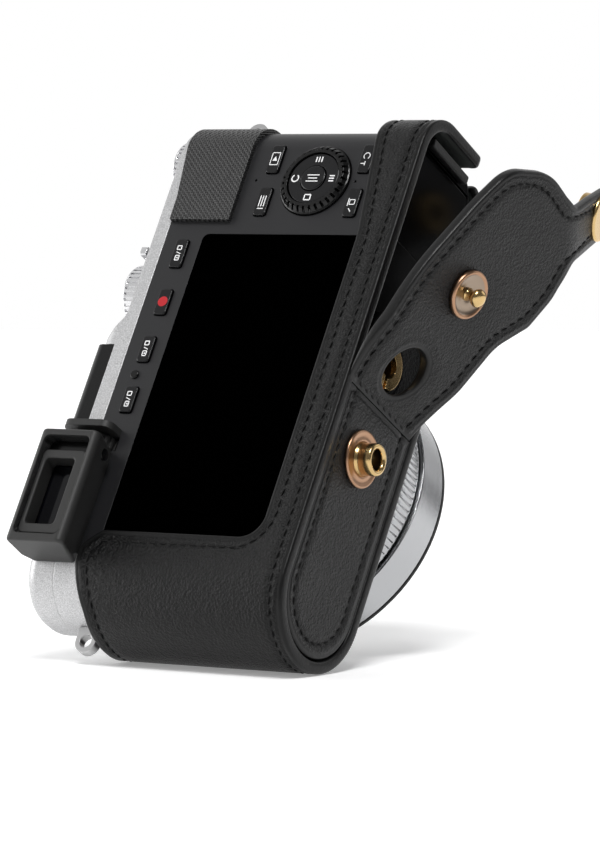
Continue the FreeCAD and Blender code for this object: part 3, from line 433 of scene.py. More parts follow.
def panel(name, loop, place, thick, material, seams=(), holes=(), lip=0.9, grid=1.0, crease=None,
          dents=(), lining=None, butt=None):
    """A leather piece: outline in its own flat frame, rounded edges, stitch grooves and its own thickness.

    place(a, b, n) gives upright millimetres, n outwards from the outer surface; thick(a, b) its depth;
    butt(points) is true where the edge is cut square to meet another piece. seams are (line, closed)
    pairs, lip is the width of the rounded edge, crease the distance of a pressed line from it, and
    dents are (a, b, radius, depth)."""
    if area(loop) < 0:
        loop = loop[::-1]
    holes = [h if area(h) < 0 else h[::-1] for h in holes]
    loops = [loop, *holes]
    rims = []
    for one in loops:
        reach = lip * (1 - SQUARE_CUT * butt(one)[:, None]) if butt else lip
        shrunk = one + inward(one) * reach
        for _ in range(3):  # evens out the shifted loop where a tight corner folded it
            shrunk = (np.roll(shrunk, 1, 0) + 2 * shrunk + np.roll(shrunk, -1, 0)) / 4
        rims.append(shrunk)
    rim_points = np.concatenate(rims)
    lo, hi = loop.min(0), loop.max(0)
    xs = np.arange(lo[0], hi[0], grid)
    ys = np.arange(lo[1], hi[1], grid * 0.866)
    gx, gy = np.meshgrid(xs, ys)
    gx[1::2] += grid / 2
    spread = np.stack([gx.ravel(), gy.ravel()], 1)
    rows = []
    for seam, closed in seams:
        for d in (0, 0.45, -0.45, 1.0, -1.0):  # rows of points that can carry the groove
            n = inward(seam) if closed else np.gradient(seam, axis=0) @ np.array([[0, 1], [-1, 0]])
            n = n / (np.linalg.norm(n, axis=1)[:, None] + 1e-12)
            rows.append(seam + n * d)
    if crease:
        for d in (crease - 0.35, crease, crease + 0.35):
            rows.append(offset(loop, d))
    if rows:
        rows = np.concatenate(rows)
        keep = np.ones(len(spread), bool)
        for seam, closed in seams:
            keep &= distance(spread, seam, closed) > 1.35
        if crease:
            keep &= np.abs(distance(spread, loop) - crease) > 0.7
        spread = np.concatenate([spread[keep], rows])
    ok = within(spread, loop)
    for h in holes:
        ok &= ~within(spread, h)
    spread = spread[ok]
    clear = distance(spread, loop)
    for h in holes:
        clear = np.minimum(clear, distance(spread, h))
    spread = spread[clear > lip + 0.25]
    count = len(rim_points)
    edges, start = [], 0
    for one in rims:
        edges += [(start + i, start + (i + 1) % len(one)) for i in range(len(one))]
        start += len(one)
    every = [Vector(p) for p in np.concatenate([rim_points, spread])]
    verts2, _, tris, _, _, _ = delaunay_2d_cdt(every, edges, [], 0, 1e-5)
    flat = np.array([tuple(v) for v in verts2])
    tris = np.array([t for t in tris if len(t) == 3])
    mid = flat[tris].mean(1)
    good = within(mid, rims[0])
    for one in rims[1:]:
        good &= ~within(mid, one)
    tris = tris[good]
    if len(flat) != len(every):
        raise ValueError(f"{name}: outline points fell together")
    edge = np.full(len(flat), 1e9)
    for one in loops:
        edge = np.minimum(edge, distance(flat, one))
    seam_d = np.full(len(flat), 9.0)
    for seam, closed in seams:
        seam_d = np.minimum(seam_d, distance(flat, seam, closed))

    def surface(points, edge_d, s_d):
        n = -GROOVE_DEEP * np.exp(-(s_d / GROOVE_WIDE) ** 2)
        if crease:
            n -= CREASE_DEEP * np.exp(-((edge_d - crease) / CREASE_WIDE) ** 2)
        for cx, cy, radius, deep in dents:
            away = np.hypot(points[:, 0] - cx, points[:, 1] - cy)
            n -= deep * np.exp(-(away / radius) ** 2)
        return n

    top = surface(flat, edge, seam_d)
    depth = thick(flat[:, 0], flat[:, 1])
    verts = [place(flat[:, 0], flat[:, 1], top), place(flat[:, 0], flat[:, 1], -depth)]
    edge_attr = [edge, np.zeros(len(flat))]
    faces = [tuple(t) for t in tris] + [tuple(t[::-1] + len(flat)) for t in tris]
    base = 2 * len(flat)
    start = 0
    for one, rim in zip(loops, rims):
        n = len(one)
        ids = [np.arange(start, start + n)]
        rim_top = top[start:start + n]
        rim_depth = depth[start:start + n]
        for angle in EDGE_STEPS:
            a = math.radians(angle)
            out = math.cos(a) ** EDGE_FULL  # share of the way from the rim to the outline
            up = math.copysign(abs(math.sin(a)) ** EDGE_FULL, a)
            flat_ring = rim + (one - rim) * out
            height = (rim_top - rim_depth) / 2 + up * (rim_top + rim_depth) / 2
            verts.append(place(flat_ring[:, 0], flat_ring[:, 1], height))
            edge_attr.append(np.full(n, lip * (1 - out) if angle > 0 else 0.0))
            ids.append(np.arange(base, base + n))
            base += n
        ids.append(np.arange(start, start + n) + len(flat))
        for a, b in zip(ids[:-1], ids[1:]):
            faces += [(a[i], a[(i + 1) % n], b[(i + 1) % n], b[i]) for i in range(n)]
        start += n
    obj = make_mesh(name, row(np.concatenate(verts)), faces, material, {"edge": np.concatenate(edge_attr)})
    if lining:  # the inner face takes the second material
        obj.data.materials.append(lining)
        for i in range(len(tris), 2 * len(tris)):
            obj.data.polygons[i].material_index = 1
    return obj


STITCH_PITCH, STITCH_LONG, STITCH_RADIUS, STITCH_SINK = 2.45, 2.0, 0.22, 0.2  # millimetres
STITCH_SLANT = math.radians(10.0)
STITCH_ALONG = (-1, -0.86, -0.55, 0, 0.55, 0.86, 1.0)  # sections along half a stitch's length each way
STITCH_GIRTH = (0.35, 0.8, 1.0, 1.02, 1.0, 0.8, 0.35)
STITCH_RISE = (-0.34, -0.16, 0.02, 0.08, 0.02, -0.16, -0.34)
STITCH_SIDES = 7


def stitches(name, seams, place):
    """Thread stitches along seams in a panel's own frame, as one piece."""
    verts, faces, base, sides = [], [], 0, STITCH_SIDES
    for seam, closed in seams:
        line = np.concatenate([seam, seam[:1]]) if closed else seam
        steps = np.linalg.norm(np.diff(line, axis=0), axis=1)
        at = np.concatenate([[0], np.cumsum(steps)])
        count = max(2, int(at[-1] / STITCH_PITCH))
        for k in range(count):
            middle = (k + 0.5) * at[-1] / count
            c = np.array([np.interp(middle, at, line[:, i]) for i in range(2)])
            f = np.array([np.interp(min(middle + 0.4, at[-1]), at, line[:, i]) for i in range(2)])
            g = np.array([np.interp(max(middle - 0.4, 0), at, line[:, i]) for i in range(2)])
            d = (f - g) / (np.linalg.norm(f - g) + 1e-12)
            d = np.array([d[0] * math.cos(STITCH_SLANT) - d[1] * math.sin(STITCH_SLANT),
                          d[0] * math.sin(STITCH_SLANT) + d[1] * math.cos(STITCH_SLANT)])
            side = np.array([-d[1], d[0]])
            for t, w, z in zip(STITCH_ALONG, STITCH_GIRTH, STITCH_RISE):
                centre = c + d * t * STITCH_LONG / 2
                for j in range(sides):
                    q = 2 * math.pi * j / sides
                    p = centre + side * math.cos(q) * STITCH_RADIUS * w
                    verts.append((p[0], p[1], z - STITCH_SINK + math.sin(q) * STITCH_RADIUS * w * 0.9))
            rings = len(STITCH_ALONG)
            for r in range(rings - 1):
                for j in range(sides):
                    a, b = base + r * sides + j, base + r * sides + (j + 1) % sides
                    faces.append((a, b, b + sides, a + sides))
            faces.append(tuple(base + j for j in range(sides))[::-1])
            faces.append(tuple(base + (rings - 1) * sides + j for j in range(sides)))
            base += rings * sides
    v = np.array(verts)
    return make_mesh(name, row(place(v[:, 0], v[:, 1], v[:, 2])), faces, THREAD)


def lathe(name, profile, origin, axis, material, segments=72):
    """A turned piece: (radius, height) pairs about an axis given in the upright frame."""
    z = np.array(axis, float) / np.linalg.norm(axis)
    hint = np.array([0.0, 0, 1])
    if abs(hint @ z) > 0.9:
        hint = np.array([1.0, 0, 0])
    x = np.cross(hint, z)
    x /= np.linalg.norm(x)
    y = np.cross(z, x)
    t = np.linspace(0, 2 * math.pi, segments, endpoint=False)
    verts, faces, ids = [], [], []
    for r, h in profile:
        if r < 1e-6:
            ids.append([len(verts)])
            verts.append(np.array(origin) + z * h)
        else:
            ids.append(list(range(len(verts), len(verts) + segments)))
            verts += [np.array(origin) + z * h + r * (x * math.cos(a) + y * math.sin(a)) for a in t]
    for a, b in zip(ids[:-1], ids[1:]):
        for i in range(segments):
            j = (i + 1) % segments
            if len(a) == 1 and len(b) == 1:
                continue
            if len(a) == 1:
                faces.append((a[0], b[j], b[i]))
            elif len(b) == 1:
                faces.append((a[i], a[j], b[0]))
            else:
                faces.append((a[i], a[j], b[j], b[i]))
    return make_mesh(name, row(np.array(verts)), faces, material)


# ---------------- the case's wall

LEFT_C = np.array([-43.75, -2.8])  # centre of the rounded end
LEFT_R = 15.45
GRIP_C = np.array([55.8, -8.65])  # centre of the rounding at the grip end
GRIP_R = 9.6
RIGHT_X, BACK_Y, FRONT_Y, EAR_Y = 65.4, -18.25, 12.65, 4.7  # its flat faces, and where the ear ends
# distances along the wall, from the ear: where each straight or round stretch ends
U_CORNER = EAR_Y - GRIP_C[1]
U_BACK = U_CORNER + GRIP_R * math.pi / 2
U_END = U_BACK + GRIP_C[0] - LEFT_C[0]
U_FRONT = U_END + LEFT_R * math.pi
U_STOP = U_FRONT + 26 - LEFT_C[0]


def wrap_place(u, z, n):
    """The wall unrolled: u runs from the ear at the grip end round the back and the rounded end."""
    u, z, n = (np.asarray(v, float) for v in (u, z, n))
    x, y, nx, ny = (np.zeros_like(u) for _ in range(4))
    s = u < U_CORNER
    x[s], y[s], nx[s] = RIGHT_X, EAR_Y - u[s], 1
    s = (u >= U_CORNER) & (u < U_BACK)
    a = (u[s] - U_CORNER) / GRIP_R
    nx[s], ny[s] = np.cos(a), -np.sin(a)
    x[s], y[s] = GRIP_C[0] + GRIP_R * np.cos(a), GRIP_C[1] - GRIP_R * np.sin(a)
    s = (u >= U_BACK) & (u < U_END)
    x[s], y[s], ny[s] = GRIP_C[0] - (u[s] - U_BACK), BACK_Y, -1
    s = (u >= U_END) & (u < U_FRONT)
    a = (u[s] - U_END) / LEFT_R
    nx[s], ny[s] = -np.sin(a), -np.cos(a)
    x[s], y[s] = LEFT_C[0] - LEFT_R * np.sin(a), LEFT_C[1] - LEFT_R * np.cos(a)
    s = u >= U_FRONT
    x[s], y[s], ny[s] = LEFT_C[0] + (u[s] - U_FRONT), FRONT_Y, 1
    return np.stack([x + nx * n, y + ny * n, z + 0 * n], -1)


def wrap_thick(u, z):
    """The wall is thinnest along the back and thickens to one measure at its bottom edge."""
    wall = np.interp(u, [0, U_CORNER, U_BACK, U_END, U_END + 18, U_FRONT - 12, U_FRONT, U_STOP],
                     [2.5, 2.5, 1.8, 1.8, 2.7, 2.7, 2.4, 2.4])
    return wall + (2.6 - wall) * smooth((-26.9 - z) / 1.0)


def x_back(x):
    """The distance along the wall at which the back reaches x."""
    return U_BACK + GRIP_C[0] - x


def x_front(x):
    """The distance along the wall at which the front reaches x."""
    return U_FRONT + x - LEFT_C[0]


wrap_outline = rounded([
    (0, -29.9, 1.6), (U_STOP, -29.9, 0.8), (U_STOP, -27.2, 0.8), (x_front(-40.0), -27.2, 29.9),
    (x_front(-40.0), 22.3, 2.5), (U_END + 46.3, 22.4, 5), (U_END + 35.9, 20.0, 9), (U_END + 24.3, 19.3, 20),
    (U_END + 12.6, 19.9, 9), (U_END + 2.3, 22.4, 5), (x_back(-41.5), 22.5, 2.4), (x_back(-37.9), 18.0, 3),
    (x_back(-37.9), -20.8, 5), (x_back(33.4), -20.8, 30), (24.7, -17.2, 30), (0, -17.0, 3.0),
])
SEAM_IN = 3.1  # how far the stitching runs in from an edge
wrap_rim_low = np.array([(u, -26.8) for u in np.arange(1.8, U_STOP - 1, 0.6)])


def open_path(corners, step=0.6):
    """Like rounded(), for a line with two ends."""
    closed = rounded([*corners, (corners[-1][0], corners[-1][1] + 400, 0),
                      (corners[0][0], corners[0][1] + 400, 0)], step)
    first = np.argmin(np.hypot(*(closed - np.array(corners[0][:2])).T))
    closed = np.roll(closed, -first, 0)
    last = np.argmin(np.hypot(*(closed - np.array(corners[-1][:2])).T))
    return closed[:last + 1]


def cut_open(loop, keep):
    """The one stretch of a closed line where keep is true, as a line with two ends."""
    first = int(np.argmax(keep & ~np.roll(keep, 1)))
    return np.roll(loop, -first, 0)[np.roll(keep, -first)]


wrap_window = open_path([
    (2.4, -19.3, 0), (24.7, -19.5, 30), (x_back(33.4), -23.2, 30), (x_back(-40.4), -23.2, 8.5),
    (x_back(-40.4), 17.2, 2.5), (x_back(-43.0), 19.4, 0),
])
rim_along = [U_END, U_END + 2.3, U_END + 12.6, U_END + 24.3, U_END + 35.9, U_END + 46.3, U_FRONT]
rim_height = [19.6, 19.5, 17.2, 16.6, 17.3, 19.5, 19.6]
wrap_rim = np.array([(u, np.interp(u, rim_along, rim_height))
                     for u in np.arange(x_back(-43.6), U_FRONT + 1.5, 0.6)])
wrap_seams = [(wrap_rim_low, False), (wrap_window, False), (wrap_rim, False)]
case_wall = panel("case_wall", wrap_outline, wrap_place, wrap_thick, LEATHER, wrap_seams, lip=0.85,
                  crease=1.5, lining=SUEDE)
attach(case_wall, "camera")
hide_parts("case_wrap")
wall_thread = stitches("case_wall_thread", wrap_seams, wrap_place)
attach(wall_thread, "camera")

# ---------------- the bottom panel

PANEL_Z = -29.7
PANEL_LEFT, PANEL_BACK, PANEL_FOLD, PANEL_FRONT, PANEL_ROUND = -56.25, -16.25, -0.43, 10.05, 13.1
POST_X, POST_Y = -12.4, -4.6


def level_place(level):
    """A place for panel(): flat, facing down, with its outer surface at one height."""
    return lambda x, y, n: np.stack([x, y, level - n + 0 * x], -1)


base_place = level_place(PANEL_Z)
base_outline = rounded([(PANEL_LEFT, PANEL_BACK, PANEL_ROUND), (PANEL_FOLD, PANEL_BACK, 0.3),
                        (PANEL_FOLD, PANEL_FRONT, 0.3), (PANEL_LEFT, PANEL_FRONT, PANEL_ROUND)])
PAST_FOLD = 3.0  # the seam's loop is drawn past the fold and then cut open there
ring = rounded([(PANEL_LEFT + SEAM_IN, PANEL_BACK + SEAM_IN, PANEL_ROUND - SEAM_IN),
                (PAST_FOLD, PANEL_BACK + SEAM_IN, 0), (PAST_FOLD, PANEL_FRONT - SEAM_IN, 0),
                (PANEL_LEFT + SEAM_IN, PANEL_FRONT - SEAM_IN, PANEL_ROUND - SEAM_IN)])
post_hole = rounded([(POST_X + a * 3, POST_Y + b * 3, 3) for a, b in ((-1, -1), (1, -1), (1, 1), (-1, 1))])
base_seams = [(cut_open(ring, ring[:, 0] < -0.5), False)]
base_leather = panel("case_base", base_outline, base_place, lambda x, y: 2.4 + 0 * x, LEATHER_SMOOTH,
                     base_seams, [post_hole], lip=0.8, dents=[(POST_X, POST_Y, 7.5, 0.35)],
                     butt=lambda p: p[:, 0] > -0.9)
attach(base_leather, "camera")
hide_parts("case_base_panel")
base_thread = stitches("case_base_thread", base_seams, base_place)
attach(base_thread, "camera")

# ---------------- the case's small pieces

def along(path):
    """A place for panel(): distance along an upright (x, y) path, height, and depth."""
    at = np.concatenate([[0], np.cumsum(np.linalg.norm(np.diff(path, axis=0), axis=1))])
    slope = np.gradient(path, axis=0)
    slope /= np.linalg.norm(slope, axis=1)[:, None]

    def place(u, z, n):
        u, z, n = (np.asarray(v, float) for v in (u, z, n))
        x, y = (np.interp(u, at, path[:, i]) for i in range(2))
        dx, dy = (np.interp(u, at, slope[:, i]) for i in range(2))
        return np.stack([x - dy * n, y + dx * n, z + 0 * u], -1)

    return place, at[-1]


def case_piece(name, node, loop, place, thick, material=LEATHER_SMOOTH, holes=(), seams=(), **more):
    """A leather piece of the case that stands for one CAD node."""
    obj = panel(name, loop, place, lambda a, b: thick + 0 * a, material, seams, holes, **more)
    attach(obj, "camera")
    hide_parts(node)
    if seams:
        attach(stitches(name + "_thread", seams, place), "camera")


def circle(x, y, radius, sides):
    """A closed round line."""
    return np.array([(x + radius * math.cos(a), y + radius * math.sin(a))
                     for a in np.linspace(0, 2 * math.pi, sides, endpoint=False)])


SCREW_X, SCREW_Y = 9.2, -5.0
screw_room = circle(SCREW_X, SCREW_Y, 5.3, 60)
# The tongue takes the darkened copy of the leather: painted shade.
case_piece("case_tongue_leather", "case_tongue",
           rounded([(-0.3, -13.5, 0.5), (20.6, -13.5, 7), (20.6, 9.9, 7), (-0.3, 9.9, 0.5)]),
           level_place(-28.8), 1.2, LEATHER_PAINTED_SHADE, [screw_room], lip=0.5)
case_piece("case_end_leather", "case_end_strip",
           rounded([(58.2, -12.4, 0.4), (60.2, -12.4, 0.4), (60.2, 3.5, 0.4), (58.2, 3.5, 0.4)], 0.4),
           level_place(-28.6), 1.8, lip=0.45, grid=0.7)
grip_path = open_path([(22.0, 12.65, 0), (32.4, 12.65, 3.8), (37.2, 19.75, 7.2), (53.7, 19.75, 8),
                       (62.1, 9.6, 0)])
grip_place, grip_long = along(grip_path)
grip_outline = rounded([(0.2, -26.9, 1.5), (grip_long - 0.2, -26.9, 1.5), (grip_long - 0.2, 12.0, 4),
                        (0.2, 12.0, 4)])
grip_seam = rounded([(3.0, -24.0, 1.2), (grip_long - 3.0, -24.0, 1.2), (grip_long - 3.0, 9.0, 2.5),
                     (3.0, 9.0, 2.5)])
case_piece("case_grip_leather", "case_front_grip", grip_outline, grip_place, 2.0, LEATHER,
           seams=[(grip_seam, True)], lip=0.8, lining=SUEDE)

# ---------------- the flap and its tab, one sheet

TAB_ROOT = np.array([56.4, 14.4])
TAB_DIR = np.array([math.cos(TAB_TURN), math.sin(TAB_TURN)])
TAB_SIDE = np.array([-TAB_DIR[1], TAB_DIR[0]])
TAB_LONG, TAB_HALF = 22.0, 5.9
STUD_S, STUD_Y = 30.4, -4.1
ROOT_OUT, FLAP_OUT = 0.02, 3.1  # depth of the outer surface at the root and across the flap
BEND = 5.0  # length over which the tab curls up


def flap_surface(s, y, n):
    """Flat flap frame to upright: the root lies flush with the bottom panel and the tab curls up."""
    s, y, n = (np.asarray(v, float) for v in (s, y, n))
    outer = -(ROOT_OUT + (FLAP_OUT - ROOT_OUT) * smooth(s / 16.0))
    w = (s - TAB_ROOT[0]) * TAB_DIR[0] + (y - TAB_ROOT[1]) * TAB_DIR[1] + BEND / 2
    side = -(s - TAB_ROOT[0]) * TAB_DIR[1] + (y - TAB_ROOT[1]) * TAB_DIR[0]
    t = np.clip(w, 0, BEND) / BEND
    angle = TAB_RISE * t
    radius = BEND / TAB_RISE
    past = np.maximum(w - BEND, 0)
    forward = np.where(w > 0, radius * np.sin(angle) + past * math.cos(TAB_RISE), w) - BEND / 2
    rise = np.where(w > 0, radius * (1 - np.cos(angle)) + past * math.sin(TAB_RISE), 0)
    depth = outer - n
    s2 = TAB_ROOT[0] + forward * TAB_DIR[0] - side * TAB_DIR[1] - depth * np.sin(angle) * TAB_DIR[0]
    y2 = TAB_ROOT[1] + forward * TAB_DIR[1] + side * TAB_DIR[0] - depth * np.sin(angle) * TAB_DIR[1]
    return flap_place(s2, y2, rise + depth * np.cos(angle))


def flap_thick(s, y):
    """Thin at the fold, full across the flap, a little thinner along the tab."""
    w = (s - TAB_ROOT[0]) * TAB_DIR[0] + (y - TAB_ROOT[1]) * TAB_DIR[1]
    return 0.6 + 2.0 * smooth(s / 14.0) - 0.4 * smooth(w / 4.0)


def tab_point(w, side):
    """A point w along the tab from its root and side across it, in the flap's flat frame."""
    return tuple(TAB_ROOT + TAB_DIR * w + TAB_SIDE * side)


def flap_corners(inset, tab_half):
    """The flap's and tab's outline moved in by inset, with the tab's half width given apart."""
    return [
        (0.05, -17.3 + inset, 0), (9.8, -20.5 + inset, 24), (26.2, -20.95 + inset, 60),
        (46.2, -16.9 + inset, 60), (56.0 - inset * 0.7, -13.8 + inset * 0.8, 10), (62.3 - inset, -2.5, 14),
        (61.3 - inset, 11.0 - inset * 0.4, 1.4 + inset), (*tab_point(9.0, -tab_half), 14),
        (*tab_point(TAB_LONG, -tab_half + 0.6), tab_half - 0.8),
        (*tab_point(TAB_LONG, tab_half - 0.6), tab_half - 0.8),
        (*tab_point(9.0, tab_half), 14), (52.6 - inset * 0.3, 19.6 - inset, 2.2 + inset),
        (43.6, 20.4 - inset, 10), (35.5 + inset * 0.3, 18.9 - inset, 4 + inset),
        (27.0 + inset * 0.2, 13.4 - inset, 12), (10.0, 10.6 - inset, 30), (0.05, 9.9 - inset, 0),
    ]


FOLD_SEAM = 0.9  # distance of the stitched line from the fold
flap_outline = rounded(flap_corners(0, TAB_HALF))
seam_loop = rounded(flap_corners(SEAM_IN, 3.0))
seam_open = cut_open(seam_loop, seam_loop[:, 0] > FOLD_SEAM)
beyond = (seam_open - TAB_ROOT) @ TAB_DIR > TAB_LONG - 2.0  # the tab's end is left unstitched
split = int(np.argmax(beyond))
seam_a = seam_open[:split]
seam_b = seam_open[split:][~beyond[split:]]
root_seam = np.array([(FOLD_SEAM, y) for y in np.arange(-14.2, 6.9, 0.6)])
flap_seams = [(seam_a, False), (seam_b, False), (root_seam, False)]
round_hole = circle(9.2, -5.5, 5.5, 72)
flap_leather = panel("case_flap_leather", flap_outline, flap_surface, flap_thick, LEATHER_SMOOTH, flap_seams,
                     [round_hole], lip=0.95, crease=2.2, dents=[(STUD_S, STUD_Y, 6.5, 0.4)],
                     butt=lambda p: p[:, 0] < 0.7)
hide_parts("case_flap", "case_tab")
flap_thread = stitches("case_flap_thread", flap_seams, flap_surface)
FLAP_MIDDLE = -1.8  # depth of the middle of the flap's leather, where the tab's hinge line runs
fold_from = tuple(row(flap_place(*(TAB_ROOT - TAB_DIR * 3.0), FLAP_MIDDLE)))
fold_to = tuple(row(flap_place(*(TAB_ROOT + TAB_DIR * 3.0), FLAP_MIDDLE)))
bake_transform(flap_leather)
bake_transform(flap_thread)

# ---------------- brass fittings

def fitting(name, profile, origin, axis, material, body, stands_for=()):
    """A turned brass piece that rides one body and may stand for CAD nodes."""
    obj = lathe(name, profile, origin, axis, material)
    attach(obj, body)
    if stands_for:
        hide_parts(*stands_for)
    return obj


DOWN = (0, 0, -1)
POST = (POST_X, POST_Y, PANEL_Z)
fitting("post_tube", [
    (2.2, -0.3), (2.2, 3.75), (2.4, 4.15), (2.8, 4.3), (3.2, 4.2), (3.42, 3.85), (3.42, 2.6), (3.3, 1.5),
    (3.35, 1.0), (3.7, 0.6), (3.7, 0.2), (2.2, 0.2),
], POST, DOWN, BRASS, "camera", ("snap_post",))
fitting("post_flange", [
    (3.6, 0.3), (3.75, 0.62), (4.2, 0.5), (4.8, 0.42), (5.3, 0.5), (5.75, 0.66), (6.05, 0.52), (6.12, 0.2),
    (6.0, -0.15), (3.6, -0.15),
], POST, DOWN, ROSE, "camera")
# A near-black lining of the post's bore and a disc at its floor: painted shade inside the hollow.
fitting("post_bore", [(2.16, 3.5), (2.12, 1.2), (0.9, 1.0), (0.8, 0.4), (0, 0.4)],
        POST, DOWN, PAINTED_SHADE_BRASS, "camera")
# A near-black cap sunk in the screw's recess: painted shade inside the hollow.
fitting("screw_bore", [(2.54, -28.6), (2.54, -25.6), (0, -25.4)],
        (SCREW_X, SCREW_Y, 0), (0, 0, 1), PAINTED_SHADE_BRASS, "case_screw")
STUD = flap_place(STUD_S, STUD_Y, -FLAP_OUT)
OUT = flap_place(0, 0, -1) - flap_place(0, 0, 0)
fitting("stud_rim", [
    (3.5, 0.3), (4.25, 0.5), (4.5, 0.85), (4.85, 1.08), (5.2, 0.9), (5.35, 0.45), (5.25, -0.2), (3.5, -0.2),
], STUD, OUT, ROSE, "flap", ("snap_stud",))
fitting("stud_bowl", [(4.4, 0.72), (3.9, 0.42), (2.6, 0.3), (1.3, 0.34), (1.2, 0.2)], STUD, OUT, BOWL, "flap")
fitting("stud_ball", [
    (1.5, 0.25), (1.15, 0.6), (1.1, 1.4), (1.35, 1.95), (1.8, 2.4), (2.0, 3.0), (1.85, 3.6), (1.3, 4.05),
    (0.6, 4.25), (0, 4.28),
], STUD, OUT, BRASS, "flap")

# ---------------- eyepiece lining and ridged lens ring

def rear_frame(name, outer, inner, level, material):
    """A flat rounded frame that faces the back at one depth."""
    n = 160
    t = np.linspace(-math.pi, math.pi, n, endpoint=False)
    rings = []
    for loop in (rounded(outer, 0.35), rounded(inner, 0.35)):
        turn = np.arctan2(*(loop - loop.mean(0)).T[::-1])
        order = np.argsort(turn)
        rings.append(np.stack([np.interp(t, turn[order], loop[order, i], period=2 * math.pi)
                               for i in range(2)], 1))
    verts = [(x, y, z) for y in (level, level + 0.05) for ring in rings for x, z in ring]
    faces = []
    for i in range(n):
        j = (i + 1) % n
        faces += [(i, j, n + j, n + i), (2 * n + j, 2 * n + i, 3 * n + i, 3 * n + j),
                  (i, 2 * n + i, 2 * n + j, j), (n + j, 3 * n + j, 3 * n + i, n + i)]
    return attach(make_mesh(name, row(np.array(verts)), faces, material, flat=True), "camera")


def box_loop(left, low, right, high, r):
    return [(left, low, r), (right, low, r), (right, high, r), (left, high, r)]


throat = box_loop(-43.3, 22.8, -20.4, 34.4, 1.3)
rear_frame("eyepiece_mask", throat, box_loop(-42.85, 23.25, -23.35, 34.05, 1.2), -23.16, GLOSS)
wall_outer, wall_inner = box_loop(-43.38, 22.72, -20.32, 34.48, 1.38), throat
for count, level in enumerate(np.linspace(-25.4, -23.3, 9)):
    rear_frame(f"eyepiece_baffle_{count}", wall_outer, wall_inner, level, GLOSS)

LENS = (-9.9, 0.0, 2.9)


def ridged_ring(name, node, body, profile, ridges, deep, material):
    """A turned ring about the lens axis whose marked profile points carry fine ridges."""
    per = 6
    t = np.linspace(0, 2 * math.pi, ridges * per, endpoint=False)
    wave = np.tile(np.array([0, 0, 0.35, 1, 1, 0.35]), ridges)
    verts, faces, n = [], [], len(t)
    for radius, y, ridged in profile:
        r = radius - deep * wave * ridged
        verts.append(np.stack([LENS[0] + r * np.cos(t), np.full(n, y), LENS[2] + r * np.sin(t)], 1))
    for k in range(len(profile)):
        a, b = k * n, (k + 1) % len(profile) * n
        faces += [(a + i, a + (i + 1) % n, b + (i + 1) % n, b + i) for i in range(n)]
    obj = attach(make_mesh(name, row(np.concatenate(verts)), faces, material), body)
    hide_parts(node)
    return obj


ridged_ring("aperture_ridges", "aperture_ring", "aperture_ring",
            [(27.6, 13.95, 0), (31.0, 13.95, 0), (31.2, 14.05, 0), (31.25, 14.3, 0), (31.25, 14.5, 1),
             (31.25, 19.3, 1), (31.25, 19.5, 0), (31.2, 19.85, 0), (31.0, 19.95, 0), (27.6, 19.95, 0)],
            132, 0.3, LENS_SILVER)

# ---------------- generic marks on the keys

def bar(cx, cz, w, h, turn=0.0):
    """The corners of a small rectangle about (cx, cz)."""
    c, k = math.cos(turn), math.sin(turn)
    return [(cx + u * c - v * k, cz + u * k + v * c)
            for u, v in ((-w / 2, -h / 2), (w / 2, -h / 2), (w / 2, h / 2), (-w / 2, h / 2))]


def box_line(cx, cz, w, h, t=0.16):
    """The four bars of an open box."""
    return [bar(cx, cz + h / 2, w, t), bar(cx, cz - h / 2, w, t),
            bar(cx - w / 2, cz, t, h), bar(cx + w / 2, cz, t, h)]


def spot_mark(cx, cz, r, sides=24):
    return [(cx + r * math.cos(a), cz + r * math.sin(a)) for a in np.linspace(0, 2 * math.pi, sides, False)]


def arc_line(cx, cz, r, a0, a1, t=0.17):
    """A bent bar from angle a0 to a1, in short pieces."""
    angles = np.radians(np.linspace(a0, a1, 14))
    return [[(cx + (r + s * t / 2) * math.cos(a), cz + (r + s * t / 2) * math.sin(a))
             for s, a in ((-1, p), (1, p), (1, q), (-1, q))] for p, q in zip(angles[:-1], angles[1:])]


MARK_SCALE = 1.15
BACK_FACE = -16.0
KEY_TOP, PAD_TOP, CENTER_TOP = 0.55, 1.2, 1.5  # how far the keys' and the pad's faces stand out
PAD_X, PAD_Z = 47.46, -4.69


def marks(name, shapes, x, z, level, body, material=WHITE_MARK):
    """Thin printed shapes on the back, `level` millimetres behind the back cover."""
    verts, faces = [], []
    for shape in shapes:
        base, n = len(verts), len(shape)
        for y in (BACK_FACE - level + 0.03, BACK_FACE - level - 0.02):
            verts += [(x + a * MARK_SCALE, y, z + b * MARK_SCALE) for a, b in shape]
        faces += [tuple(range(base, base + n)), tuple(range(base + 2 * n - 1, base + n - 1, -1))]
        faces += [(base + i, base + (i + 1) % n, base + n + (i + 1) % n, base + n + i) for i in range(n)]
    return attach(make_mesh(name, row(np.array(verts)), faces, material, flat=True), body)


